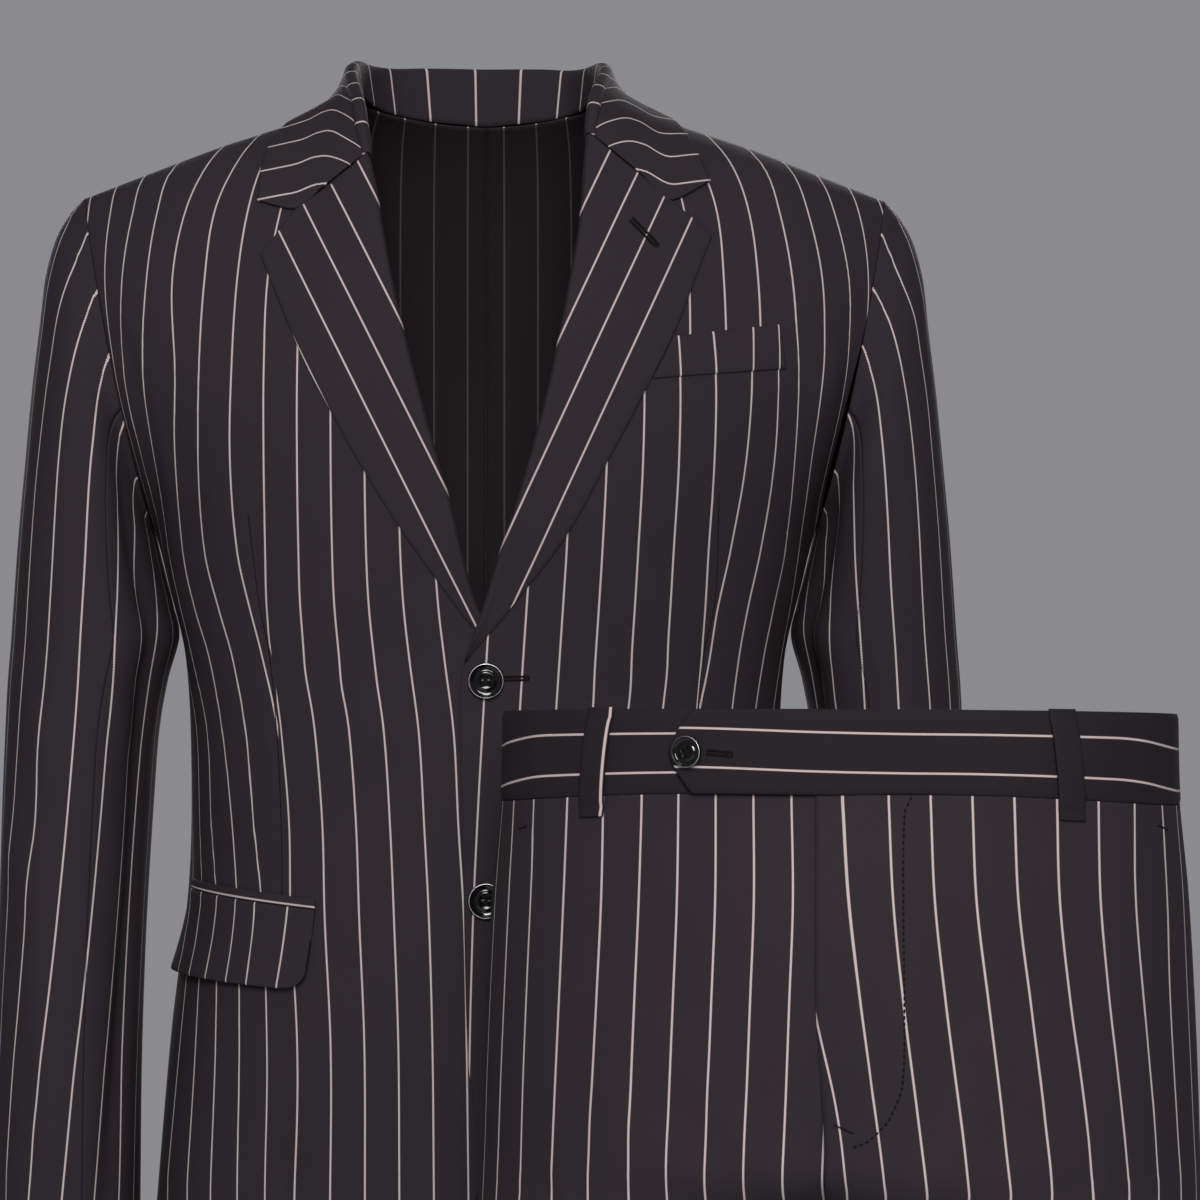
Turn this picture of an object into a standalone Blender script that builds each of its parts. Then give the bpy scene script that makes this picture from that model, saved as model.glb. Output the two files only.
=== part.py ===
"""Single-breasted suit in Blender: a two-button jacket with the trousers in front of it.

Both garments are hollow, as worn with no wearer. Metres, +Z up, the front faces -Y, and
+X is the wearer's left. The origin is on the jacket's centre plane at the neck's base.
"""
import math

import bmesh
import bpy
from mathutils import Matrix, Vector

# Cloth and seams
JACKET_CLOTH = 0.0018
TROUSER_CLOTH = 0.0015
BAND_CLOTH = 0.0024
TRIM_CLOTH = 0.0012
SEAM = 0.0003
LAP_LIFT = JACKET_CLOTH + 3 * SEAM
ROUNDNESS = 2.3

# Jacket levels
UNDERARM_Z = -0.236
SHOULDER_X = 0.2295
SHOULDER_Z = -0.0457
UNDERARM_X = 0.1905

# Horizontal sections of the jacket's body: half width, depth before and behind the side seams
BODY = {
    "z": (-0.755, -0.624, -0.520, -0.440, -0.375, -0.310, -0.270, -0.236, -0.200, -0.150, -0.100, 0.050),
    "side": (0.2000, 0.1890, 0.1800, 0.1705, 0.1690, 0.1722, 0.1815, 0.1905, 0.2070, 0.2320, 0.2450, 0.2520),
    "front": (0.1285, 0.1290, 0.1270, 0.1230, 0.1200, 0.1205, 0.1225, 0.1250, 0.1250, 0.1240, 0.1220, 0.1200),
    "back": (0.1270, 0.1280, 0.1240, 0.1160, 0.1100, 0.1120, 0.1170, 0.1220, 0.1240, 0.1240, 0.1220, 0.1200),
}

# The ridge over the shoulders, from the centre out
RIDGE = {
    "x": (0.000, 0.075, 0.100, 0.128, 0.152, 0.190, 0.2295, 0.260),
    "z": (0.0390, 0.0125, 0.0005, -0.0090, -0.0168, -0.0310, -0.0457, -0.0570),
}

# Roll line and front edge of each side, measured out from the centre plane
FRONT_EDGE = {
    "right": {
        "z": (-0.755, -0.748, -0.730, -0.690, -0.640, -0.600, -0.560, -0.520, -0.330, -0.305, -0.277,
              -0.2217, -0.1756, -0.1172, -0.0747, -0.0484, -0.0223, -0.0021, 0.0150),
        "x": (0.1050, 0.0800, 0.0540, 0.0290, 0.0130, 0.0040, -0.0090, -0.0140, -0.0140, -0.0080, 0.0060,
              0.0200, 0.0331, 0.0478, 0.0563, 0.0606, 0.0665, 0.0688, 0.0725),
    },
    "left": {
        "z": (-0.755, -0.748, -0.730, -0.690, -0.640, -0.6014, -0.5566, -0.5252, -0.4221, -0.3426,
              -0.3177, -0.3014, -0.2824, -0.2553, -0.2174, -0.1684, -0.1301, -0.0795, -0.0609,
              -0.0336, -0.0033, 0.0090, 0.0200),
        "x": (0.1050, 0.0800, 0.0540, 0.0270, 0.0070, -0.0043, -0.0059, -0.0097, -0.0124, -0.0141,
              -0.0135, -0.0087, -0.0022, 0.0060, 0.0184, 0.0320, 0.0403, 0.0498, 0.0522,
              0.0544, 0.0582, 0.0640, 0.0665),
    },
}

# Outer edge of each lapel, from its corner down to the break
LAPEL_EDGE = {
    "right": {
        "x": (0.1237, 0.1184, 0.0996, 0.0827, 0.0643, 0.0454, 0.0200, 0.0150),
        "z": (-0.0873, -0.1004, -0.1448, -0.1769, -0.2094, -0.2391, -0.2750, -0.2820),
    },
    "left": {
        "x": (0.1250, 0.1184, 0.1032, 0.0846, 0.0639, 0.0455, 0.0238, 0.0059, -0.0040),
        "z": (-0.0752, -0.0913, -0.1297, -0.1664, -0.2050, -0.2391, -0.2716, -0.2943, -0.3040),
    },
}

# Where the collar meets the lapel: start of the gorge seam, notch and collar point
NOTCH = {
    "right": {"gorge": (0.0665, -0.0223), "notch": (0.1042, -0.0614), "point": (0.1263, -0.0563)},
    "left": {"gorge": (0.0578, -0.0104), "notch": (0.1018, -0.0557), "point": (0.1251, -0.0436)},
}
LAPEL_FOOT_Z = {"right": -0.2790, "left": -0.3020}
LAPEL_RISE = 0.0016
FOLD_RADIUS = 0.0026

# Neck and collar: half width of the neck on each side, and the collar's levels
NECK_X = {"right": 0.0740, "left": 0.0660}
NECK_BACK_Z = 0.0050
NECK_POINT_Z = 0.0120
ROLL_BACK_Z = 0.0380
ROLL_SHOULDER_Z = 0.0320
FALL_EDGE = {
    "right": {"x": (0.1262, 0.1242, 0.1185, 0.1096), "z": (-0.0480, -0.0323, -0.0170, -0.0055)},
    "left": {"x": (0.1240, 0.1195, 0.1140, 0.1050), "z": (-0.0380, -0.0290, -0.0160, -0.0030)},
}
FALL_BACK = {"x": (0.0960, 0.0760, 0.0400, 0.0000), "z": (-0.0020, -0.0080, -0.0125, -0.0140)}

# Sleeve sections below the armhole: outer and inner line, depth of each half, middle
SLEEVE = {
    "outer_x": (0.2376, 0.2457, 0.2520, 0.2555, 0.2600, 0.2640, 0.2680, 0.2705, 0.2722, 0.2740,
                0.2751, 0.2762, 0.2772, 0.2778, 0.2785, 0.2790),
    "outer_z": (-0.0538, -0.0676, -0.0896, -0.1185, -0.1560, -0.1980, -0.2400, -0.2740, -0.3000, -0.3250,
                -0.3550, -0.3950, -0.4650, -0.5400, -0.6200, -0.6850),
    "inner_x": (0.1919, 0.1914, 0.1907, 0.1899, 0.1890, 0.1872, 0.1846, 0.1812, 0.1776, 0.1840,
                0.1888, 0.1915, 0.1950, 0.1968, 0.1970, 0.1970),
    "inner_z": (-0.2385, -0.2405, -0.2430, -0.2460, -0.2500, -0.2570, -0.2670, -0.2800, -0.2980, -0.3230,
                -0.3520, -0.3920, -0.4630, -0.5390, -0.6200, -0.6850),
    "front": (0.0700, 0.0720, 0.0735, 0.0740, 0.0740, 0.0735, 0.0725, 0.0715, 0.0705, 0.0695,
              0.0685, 0.0665, 0.0630, 0.0600, 0.0570, 0.0550),
    "back": (0.0700, 0.0720, 0.0735, 0.0740, 0.0740, 0.0735, 0.0725, 0.0715, 0.0705, 0.0695,
             0.0685, 0.0665, 0.0630, 0.0600, 0.0570, 0.0550),
    "middle_y": (0.0010, 0.0020, 0.0030, 0.0040, 0.0050, 0.0060, 0.0065, 0.0060, 0.0050, 0.0035,
                 0.0010, -0.0030, -0.0110, -0.0190, -0.0260, -0.0310),
}
FOREARM_SEAM = math.radians(108)
ELBOW_SEAM = math.radians(-120)

# Breast welt, pocket jets and flaps, in front view
WELT = {"inner_top": -0.1325, "outer_top": (0.1625, -0.1244),
        "inner_foot": -0.1560, "outer_foot": (0.1655, -0.1490)}
POCKET_INNER_X = 0.0930
POCKET_OUTER_SHARE = 0.968
FLAP_TOP_Z = (-0.4462, -0.4400)
FLAP_FOOT_Z = (-0.4900, -0.4868)
FLAP_FOOT_SHARE = 0.984
FLAP_CORNER = 0.014
JET_HEIGHT = 0.0055

# Buttons
JACKET_BUTTON_RADIUS = 0.0098
WAIST_BUTTON_RADIUS = 0.0077
BUTTON_THICKNESS = 0.0034
JACKET_BUTTON_Z = (-0.3208, -0.4404)
BUTTON_SIDES = 20
BUTTON_SHANK = 0.0007

# Trousers stand in front of the jacket, turned a little to the wearer's right
TROUSER_PLACE = (0.1765, -0.275, 0.0)
TROUSER_TURN = math.radians(-9.0)
CROTCH_Z = -0.622
FORK_START_Z = -0.545
TROUSER_HEM_Z = -1.390
HIPS = {
    "z": (-0.630, -0.577, -0.520, -0.470, -0.420, -0.372, -0.325),
    "side": (0.1798, 0.1798, 0.1785, 0.1765, 0.1735, 0.1690, 0.1680),
    "front": (0.1120, 0.1120, 0.1110, 0.1100, 0.1080, 0.1060, 0.1050),
    "back": (0.1250, 0.1270, 0.1280, 0.1250, 0.1180, 0.1080, 0.1050),
}
LEG = {
    "z": (-1.390, -1.150, -0.900, -0.770, -0.680, -0.622, -0.520),
    "middle_x": (0.0870, 0.0870, 0.0880, 0.0893, 0.0903, 0.0905, 0.0905),
    "half": (0.0540, 0.0570, 0.0660, 0.0770, 0.0850, 0.0893, 0.0893),
    "front": (0.0660, 0.0700, 0.0820, 0.0960, 0.1050, 0.1080, 0.1100),
    "back": (0.0700, 0.0760, 0.0860, 0.0990, 0.1130, 0.1200, 0.1250),
}
BAND_TOP_Z = -0.3285
BAND_FOOT_Z = -0.3688
BAND_BACK_DROP = 0.010
BAND_SIDE_DIP = 0.0088
TAB_REACH = 0.0735
TAB_POINT = 0.0100
TAB_LIFT = BAND_CLOTH + 4 * SEAM
TAB_BUTTON_X = -0.0630
FLY_LAP = 0.0040
FLY_LIFT = TROUSER_CLOTH + 2 * SEAM
LOOP_HALF_WIDTH = 0.0060
LOOP_SPREAD = (-0.113, 0.113)
LOOP_BACK_SPREAD = (-0.105, 0.105, 0.0)
LOOP_OVERHANG = 0.0100

SIDES = {"right": -1, "left": 1}


def ease(table, wanted, at, key="z"):
    """Read one column of a table at a level, on a smooth curve through its rows."""
    levels = table[key]
    values = table[wanted]
    if levels[0] > levels[-1]:
        levels = levels[::-1]
        values = values[::-1]
    last = len(levels) - 1
    if at <= levels[0]:
        return values[0]
    if at >= levels[-1]:
        return values[-1]
    row = max(i for i in range(last) if levels[i] <= at)
    slopes = []
    for i in (row, row + 1):
        low = max(i - 1, 0)
        high = min(i + 1, last)
        slopes.append((values[high] - values[low]) / (levels[high] - levels[low]))
    span = levels[row + 1] - levels[row]
    t = (at - levels[row]) / span
    start = (1 + 2 * t) * (1 - t) ** 2 * values[row] + t * (1 - t) ** 2 * span * slopes[0]
    end = t * t * (3 - 2 * t) * values[row + 1] + t * t * (t - 1) * span * slopes[1]
    return start + end


def smooth_step(low, high, value):
    """0 below low, 1 above high, with a soft change between."""
    t = min(max((value - low) / (high - low), 0.0), 1.0)
    return t * t * (3 - 2 * t)


def mix(a, b, t):
    """The value, point or vector a share t of the way from a to b."""
    return a * (1 - t) + b * t


def signed_power(value, power):
    """A power that keeps the sign, for rounded-off ellipses."""
    return math.copysign(abs(value) ** power, value)


def curve_through(points, count):
    """Evenly spaced points on a smooth curve through a few."""
    knots = [Vector(p) for p in points]
    lengths = [0.0]
    for before, after in zip(knots, knots[1:]):
        lengths.append(lengths[-1] + (after - before).length)
    columns = {"at": tuple(lengths)}
    for axis in range(len(knots[0])):
        columns[str(axis)] = tuple(knot[axis] for knot in knots)
    spots = [lengths[-1] * i / (count - 1) for i in range(count)]
    return [Vector([ease(columns, str(axis), spot, "at") for axis in range(len(knots[0]))]) for spot in spots]


def clear_of_body(point, clearance):
    """Move a point straight out until it stands at least a clearance over the jacket's body."""
    spot = point.copy()
    for _ in range(4):
        out = body_normal(spot)
        step = 0.0005
        rise = (body_field(*(spot + out * step)) - body_field(*(spot - out * step))) / (2 * step)
        height = body_field(*spot) / max(rise, 1e-6)
        if height >= clearance:
            break
        spot += out * (clearance - height)
    return spot


def wall(name, outer, inner, material):
    """A cloth piece: its outer and inner face, given as rows of points, joined round the edge."""
    rows = len(outer)
    columns = len(outer[0])
    mesh = bpy.data.meshes.new(name)
    shell = bmesh.new()
    faces = [[[shell.verts.new(point) for point in row] for row in grid] for grid in (outer, inner)]
    for grid in faces:
        for i in range(rows - 1):
            for j in range(columns - 1):
                shell.faces.new((grid[i][j], grid[i][j + 1], grid[i + 1][j + 1], grid[i + 1][j]))
    outside, inside = faces
    rim = [(0, j) for j in range(columns)]
    rim += [(i, columns - 1) for i in range(1, rows)]
    rim += [(rows - 1, j) for j in range(columns - 2, -1, -1)]
    rim += [(i, 0) for i in range(rows - 2, 0, -1)]
    for (i, j), (k, m) in zip(rim, rim[1:] + rim[:1]):
        shell.faces.new((outside[i][j], outside[k][m], inside[k][m], inside[i][j]))
    bmesh.ops.recalc_face_normals(shell, faces=shell.faces)
    if shell.calc_volume(signed=True) < 0:
        bmesh.ops.reverse_faces(shell, faces=shell.faces)
    shell.to_mesh(mesh)
    shell.free()
    piece = bpy.data.objects.new(name, mesh)
    mesh.materials.append(material)
    mesh.shade_smooth()
    mesh.set_sharp_from_angle(angle=math.radians(50))
    SUIT.objects.link(piece)
    return piece


def finish_material(name, colour, roughness, metallic=0.0):
    """A plain material in one of the suit's colours."""
    material = bpy.data.materials.new(name)
    material.use_nodes = True
    shader = material.node_tree.nodes["Principled BSDF"]
    shader.inputs["Base Color"].default_value = (*colour, 1.0)
    shader.inputs["Roughness"].default_value = roughness
    shader.inputs["Metallic"].default_value = metallic
    return material


def body_depth(z, face):
    """Depth of the jacket's body at a level: face is -1 for the front and 1 for the back."""
    return ease(BODY, "front" if face < 0 else "back", z)


def rise_share(x, z):
    """How far a point has climbed from the underarm level to the shoulder ridge."""
    if z <= UNDERARM_Z:
        return 0.0
    ridge = ease(RIDGE, "z", abs(x), "x")
    return min((z - UNDERARM_Z) / (ridge - UNDERARM_Z), 1.0)


def body_point(x, z, face, lift=0.0):
    """A point of the jacket's outer face in front or back view, moved out by lift."""
    half = ease(BODY, "side", z)
    across = min(abs(x) / half, 1.0)
    share = (1 - across ** ROUNDNESS) * (1 - rise_share(x, z) ** ROUNDNESS)
    depth = body_depth(z, face) * share ** (1 / ROUNDNESS)
    point = Vector((x, face * depth, z))
    if lift:
        point += body_normal(point) * lift
    return point


def body_field(x, y, z):
    """Zero on the body's face, growing outward, so that its slope is the face's normal."""
    half = ease(BODY, "side", z)
    across = (abs(x) / half) ** ROUNDNESS
    fall = 1 - rise_share(x, z) ** ROUNDNESS
    return fall * (across - 1) + abs(y / body_depth(z, -1 if y < 0 else 1)) ** ROUNDNESS


def body_normal(point):
    """Direction out of the body at a point of its face."""
    step = 0.0004
    slope = Vector((0, 0, 0))
    for axis in range(3):
        ahead = point.copy()
        behind = point.copy()
        ahead[axis] += step
        behind[axis] -= step
        slope[axis] = body_field(*ahead) - body_field(*behind)
    return slope.normalized()


def armhole_x(z):
    """The armhole lies in one slanting plane from shoulder point to underarm."""
    share = (z - UNDERARM_Z) / (SHOULDER_Z - UNDERARM_Z)
    return mix(UNDERARM_X, SHOULDER_X, share)


def lap_lift(side, x, z):
    """The left front laps over the right one, so near its edge it stands out."""
    if side != "left":
        return 0.0
    near = 1 - smooth_step(0.019, 0.062, x)
    return LAP_LIFT * near * (1 - smooth_step(-0.245, -0.190, z))


def armhole_inward(point, sign):
    """Direction from the armhole's edge to its middle, in the armhole's own plane."""
    level = 0.5 * (SHOULDER_Z + UNDERARM_Z)
    middle = Vector((sign * armhole_x(level), 0, level))
    flat = middle - point
    down = Vector((sign * (UNDERARM_X - SHOULDER_X), 0, UNDERARM_Z - SHOULDER_Z)).normalized()
    return (down * flat.dot(down) + Vector((0, flat.y, 0))).normalized()


def body_panel(name, side, face, levels, climbs, columns, material):
    """One front or back of the jacket: level rows to the underarm, then rows up to the shoulder."""
    sign = SIDES[side]
    outer = []
    inner = []
    rows = [("level", z) for z in levels] + [("climb", s) for s in climbs]
    for kind, value in rows:
        outer_row = []
        inner_row = []
        for j in range(columns + 1):
            u = j / columns
            z = value if kind == "level" else mix(UNDERARM_Z, 0.0, value)
            x = 0.1
            for _ in range(1 if kind == "level" else 12):
                edge_x = panel_edge_x(side, face, z)
                half = ease(BODY, "side", z)
                far_x = half if z <= UNDERARM_Z else armhole_x(z)
                near_turn = math.acos(signed_power(edge_x / half, ROUNDNESS / 2))
                far_turn = math.acos(min((far_x / half) ** (ROUNDNESS / 2), 1.0))
                if z <= UNDERARM_Z + 0.001:
                    far_turn = max(far_turn, SEAM / (2 * body_depth(z, face)) * 3)
                turn = mix(near_turn, far_turn, u)
                x = half * signed_power(math.cos(turn), 2 / ROUNDNESS)
                if kind == "climb":
                    z = mix(UNDERARM_Z, panel_top_z(side, face, x), value)
            point = body_point(sign * x, z, face)
            out = body_normal(point)
            inward = -out
            if kind == "climb":
                turn_in = smooth_step(0.75, 1.0, u)
                inward = mix(inward, armhole_inward(point, sign), turn_in).normalized()
            if face < 0:
                point += out * lap_lift(side, x, z)
            if point.y * face < SEAM / 2:
                point.y = face * SEAM / 2
            outer_row.append(point)
            inner_row.append(point + inward * JACKET_CLOTH)
        for point in inner_row:
            if point.y * face < SEAM / 2:
                point.y = face * SEAM / 2
        outer.append(outer_row)
        inner.append(inner_row)
    return wall(name, outer, inner, material)


def panel_edge_x(side, face, z):
    """The panel's inner edge: roll line and front edge before, centre seam behind."""
    if face > 0:
        return SEAM / 2
    turned = smooth_step(-0.320, -0.290, z)
    return ease(FRONT_EDGE[side], "x", z) + (FOLD_RADIUS + SEAM) * turned


def panel_top_z(side, face, x):
    """The panel's upper edge: the shoulder seam, and behind the neck its curve."""
    ridge = ease(RIDGE, "z", abs(x), "x")
    if face < 0:
        return ridge
    neck = NECK_BACK_Z + (NECK_POINT_Z - NECK_BACK_Z) * (x / NECK_X[side]) ** 2
    return min(ridge, neck)


def build_bodies():
    """Two fronts and two backs."""
    low = (-0.755, -0.750, -0.738, -0.712, -0.670, -0.615, -0.560, -0.500, -0.440, -0.385,
           -0.338, -0.306, -0.284, -0.260, UNDERARM_Z)
    front_climbs = (0.14, 0.30, 0.46, 0.61, 0.74, 0.84, 0.92, 0.975, 1.0)
    back_low = (-0.755, -0.680, -0.600, -0.520, -0.445, -0.380, -0.325, -0.280, UNDERARM_Z)
    for side in SIDES:
        body_panel("jacket_front_" + side, side, -1, low, front_climbs, 10, CLOTH)
        body_panel("jacket_back_" + side, side, 1, back_low, front_climbs, 9, CLOTH)


def armhole_ring(sign, turn):
    """A point of the armhole at a turn: 0 at the shoulder, half a turn at the underarm."""
    z = mix(UNDERARM_Z, SHOULDER_Z, 0.5 + 0.5 * math.cos(turn))
    face = -1 if math.sin(turn) >= 0 else 1
    return body_point(sign * armhole_x(z), z, face)


def sleeve_point(side, row, turn):
    """A point of a sleeve: row 0 is the armhole, then one row for each section."""
    sign = SIDES[side]
    ring = armhole_ring(sign, turn)
    if row == 0:
        return ring + Vector((sign * SEAM, 0, 0))
    section = row - 1
    outer = Vector((SLEEVE["outer_x"][section] * sign, 0, SLEEVE["outer_z"][section]))
    inner = Vector((SLEEVE["inner_x"][section] * sign, 0, SLEEVE["inner_z"][section]))
    across = signed_power(math.cos(turn), 2 / ROUNDNESS)
    deep = signed_power(math.sin(turn), 2 / ROUNDNESS)
    depth = SLEEVE["front"][section] if deep >= 0 else SLEEVE["back"][section]
    point = mix(inner, outer, 0.5 + 0.5 * across)
    point.y = SLEEVE["middle_y"][section] - deep * depth
    share = smooth_step(0, 6, row)
    start = mix(inner, outer, (ring.z - UNDERARM_Z) / (SHOULDER_Z - UNDERARM_Z))
    start.y = ring.y * mix(1.0, depth / 0.066, share)
    return mix(start, point, share)


def sleeve_panel(name, side, first, last, columns, material):
    """One sleeve piece between two seams, from the armhole to the cuff."""
    sign = SIDES[side]
    rows = len(SLEEVE["outer_x"]) + 1
    trim = SEAM / 2 / 0.042
    turns = [mix(first + trim, last - trim, j / columns) for j in range(columns + 1)]
    outer = []
    inner = []
    for row in range(rows):
        outer_row = []
        inner_row = []
        for turn in turns:
            point = sleeve_point(side, row, turn)
            above = sleeve_point(side, max(row - 1, 0), turn)
            below = sleeve_point(side, min(row + 1, rows - 1), turn)
            around = sleeve_point(side, row, turn + 0.02) - sleeve_point(side, row, turn - 0.02)
            inward = (below - above).cross(around).normalized() * sign
            if row == 0:
                inward = armhole_inward(point, sign)
            elif row < 3:
                inward = mix(armhole_inward(point, sign), inward, row / 3).normalized()
            outer_row.append(point)
            inner_row.append(point + inward * JACKET_CLOTH)
        outer.append(outer_row)
        inner.append(inner_row)
    return wall(name, outer, inner, material)


def build_sleeves():
    """A top and an under sleeve on each side, seamed before and behind."""
    for side in SIDES:
        sleeve_panel("sleeve_top_" + side, side, ELBOW_SEAM, FOREARM_SEAM, 13, CLOTH)
        sleeve_panel("sleeve_under_" + side, side, FOREARM_SEAM, 2 * math.pi + ELBOW_SEAM, 7, CLOTH)


def lapel_profile(width, across):
    """Outer and inner place of the turned cloth from the roll: distance out and height."""
    squeeze = min(1.0, width / 0.012)
    reach = FOLD_RADIUS * squeeze
    top = LAPEL_RISE + JACKET_CLOTH + SEAM
    places = [(0.1 * reach, -JACKET_CLOTH, 0.8 * reach, -JACKET_CLOTH),
              (0.0, 0.2 * top, 0.7 * reach, 0.2 * top),
              (0.25 * reach, 0.72 * top, 0.8 * reach, 0.42 * top),
              (reach, top, 1.15 * reach, top - JACKET_CLOTH)]
    for j in range(1, across + 1):
        t = j / across
        out = mix(reach, width, t)
        height = 2 * SEAM + LAPEL_RISE * (1 - t) ** 2
        places.append((out, height + JACKET_CLOTH, max(out, 1.15 * reach), height))
    return places


def lay_on_front(side, x, z, height):
    """A point over the front panel, given from the centre plane, at a height over it."""
    return body_point(SIDES[side] * x, z, -1, lap_lift(side, x, z) + height)


def build_lapel(side, rows=12, across=5):
    """The turned-back front edge, from the gorge seam and notch down to the break."""
    notch = NOTCH[side]
    gorge = Vector(notch["gorge"])
    foot_z = LAPEL_FOOT_Z[side]
    roll = []
    for i in range(rows):
        z = mix(gorge.y, foot_z, i / (rows - 1))
        roll.append(Vector((ease(FRONT_EDGE[side], "x", z), z)))
    edge_knots = list(zip(LAPEL_EDGE[side]["x"], LAPEL_EDGE[side]["z"]))
    edge = curve_through(edge_knots, rows)
    outer = []
    inner = []
    for i in range(rows):
        line = edge[i] - roll[i]
        ahead = line.normalized()
        bend = (Vector(notch["notch"]) - mix(roll[0], edge[0], 0.64)) * max(0.0, 1 - i / 3)
        outer_row = []
        inner_row = []
        for far, high, far_in, high_in in lapel_profile(line.length, across):
            share = far / line.length
            arch = bend * max(0.0, 1 - abs(share - 0.64) / 0.36)
            down = Vector((0, -SEAM)) if i == 0 else Vector((0, 0))
            place = roll[i] + ahead * far + arch + down
            place_in = roll[i] + ahead * far_in + arch + down
            outer_row.append(lay_on_front(side, place.x, place.y, high))
            inner_row.append(lay_on_front(side, place_in.x, place_in.y, high_in))
        outer.append(outer_row)
        inner.append(inner_row)
    return wall("lapel_" + side, outer, inner, CLOTH)


def collar_half(side, stations):
    """Stations of one half of the collar, from its front end to the centre back.

    Each station gives the foot of the stand, the roll, and points of the fall out to its edge.
    """
    sign = SIDES[side]
    notch = NOTCH[side]
    gorge = Vector(notch["gorge"])
    lead = 2 * SEAM
    neck_x = NECK_X[side]
    level = gorge.y + 0.5 * (NECK_POINT_Z - gorge.y)
    near = ease(FRONT_EDGE[side], "x", level)
    foot_knots = [body_point(sign * gorge.x, gorge.y + lead, -1, -JACKET_CLOTH),
                  body_point(sign * near, level, -1, -JACKET_CLOTH),
                  Vector((sign * (neck_x - 0.001), 0.0, NECK_POINT_Z + lead))]
    for share in (0.80, 0.45, 0.0):
        x = neck_x * share
        z = NECK_BACK_Z + (NECK_POINT_Z - NECK_BACK_Z) * share ** 2
        foot_knots.append(body_point(sign * x, z, 1) + Vector((0, -0.001, lead)))
    roll_knots = [body_point(sign * gorge.x, gorge.y + lead, -1, 0.0035),
                  body_point(sign * near, level, -1, 0.0035) + Vector((0, 0, 0.006)),
                  Vector((sign * (neck_x + 0.001), 0.002, ROLL_SHOULDER_Z))]
    for share in (0.80, 0.45, 0.0):
        x = neck_x * share
        z = NECK_BACK_Z + (NECK_POINT_Z - NECK_BACK_Z) * share ** 2
        spot = body_point(sign * x, z, 1)
        roll_knots.append(Vector((spot.x, spot.y + 0.001, mix(ROLL_BACK_Z, ROLL_SHOULDER_Z, share ** 2))))
    clear = 3 * SEAM + JACKET_CLOTH
    edge_knots = [body_point(sign * notch["point"][0], notch["point"][1] + lead, -1, clear)]
    for x, z in zip(FALL_EDGE[side]["x"], FALL_EDGE[side]["z"]):
        edge_knots.append(body_point(sign * x, z, -1, clear))
    for x, z in zip(FALL_BACK["x"], FALL_BACK["z"]):
        edge_knots.append(body_point(sign * x, z, 1, clear + 0.0006))
    feet = curve_through(foot_knots, stations)
    rolls = curve_through(roll_knots, stations)
    edges = curve_through(edge_knots, stations)
    end_notch = body_point(sign * notch["notch"][0], notch["notch"][1] + lead, -1, clear)
    rows = []
    for i in range(stations):
        foot = feet[i]
        roll = rolls[i]
        edge = edges[i]
        away = edge - foot
        stand = roll - foot
        tall = stand.length
        up = stand.normalized()
        out = (away - up * away.dot(up)).normalized()
        reach = min(FOLD_RADIUS, 0.45 * tall)
        row = [foot, mix(foot, roll, 0.5), roll - up * reach, roll + out * 0.3 * reach]
        row.append(roll + out * 1.5 * reach - up * 0.25 * reach)
        start = roll + out * 2.1 * reach - up * 1.2 * reach
        knee = mix(foot, edge, 0.30)
        knee += body_normal(Vector((knee.x, knee.y, knee.z))) * 0.0042
        knee = mix(knee, mix(start, edge, 0.5), 1 - smooth_step(0.006, 0.016, tall))
        blend = max(0.0, 1 - i / 3)
        for t in (0.0, 0.22, 0.46, 0.72, 1.0):
            spot = start * (1 - t) ** 2 + knee * 2 * t * (1 - t) + edge * t * t
            straight = mix(start, end_notch, t / 0.72)
            if t > 0.72:
                straight = mix(end_notch, edge, (t - 0.72) / 0.28)
            row.append(clear_of_body(mix(spot, straight, blend), clear))
        rows.append(row)
    return rows


def build_collar():
    """Stand and fall in one folded piece round the neck."""
    stations = 12
    right = collar_half("right", stations)
    left = collar_half("left", stations)
    rows = right + left[-2::-1]
    outer = []
    inner = []
    for i, row in enumerate(rows):
        before = rows[max(i - 1, 0)]
        after = rows[min(i + 1, len(rows) - 1)]
        inner_row = []
        for j, point in enumerate(row):
            along = after[j] - before[j]
            across = row[min(j + 1, len(row) - 1)] - row[max(j - 1, 0)]
            inward = along.cross(across).normalized()
            inner_row.append(point + inward * JACKET_CLOTH)
        outer.append(row)
        inner.append(inner_row)
    return wall("collar", outer, inner, CLOTH)


def body_patch(name, side, corners, clear, thickness, columns, rows, material):
    """A small piece lying on the front: corners is a function of across and down shares."""
    outer = []
    inner = []
    for i in range(rows + 1):
        outer_row = []
        inner_row = []
        for j in range(columns + 1):
            x, z, extra = corners(j / columns, i / rows)
            outer_row.append(lay_on_front(side, x, z, clear + extra + thickness))
            inner_row.append(lay_on_front(side, x, z, clear + extra))
        outer.append(outer_row)
        inner.append(inner_row)
    return wall(name, outer, inner, material)


def flap_place(u, v):
    """Place on the body of a point of the pocket flap, with its lower inner corner rounded."""
    top = mix(*FLAP_TOP_Z, u)
    foot = mix(*FLAP_FOOT_Z, u)
    width = 0.075
    near = max(0.0, 1 - u * width / FLAP_CORNER)
    foot += FLAP_CORNER * (1 - math.sqrt(1 - near ** 2)) * 0.9
    z = mix(top, foot, v)
    half = ease(BODY, "side", z)
    share = mix(POCKET_OUTER_SHARE, FLAP_FOOT_SHARE, v)
    x = mix(POCKET_INNER_X + 0.003 * v, half * share, u)
    return x, z, 0.0038 * v * v


def jet_place(u, v):
    """Place on the body of a point of the narrow jet over the flap."""
    z = mix(*FLAP_TOP_Z, u) + SEAM + JET_HEIGHT * (1 - v)
    half = ease(BODY, "side", z)
    return mix(POCKET_INNER_X, half * POCKET_OUTER_SHARE, u), z, 0.0


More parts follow.
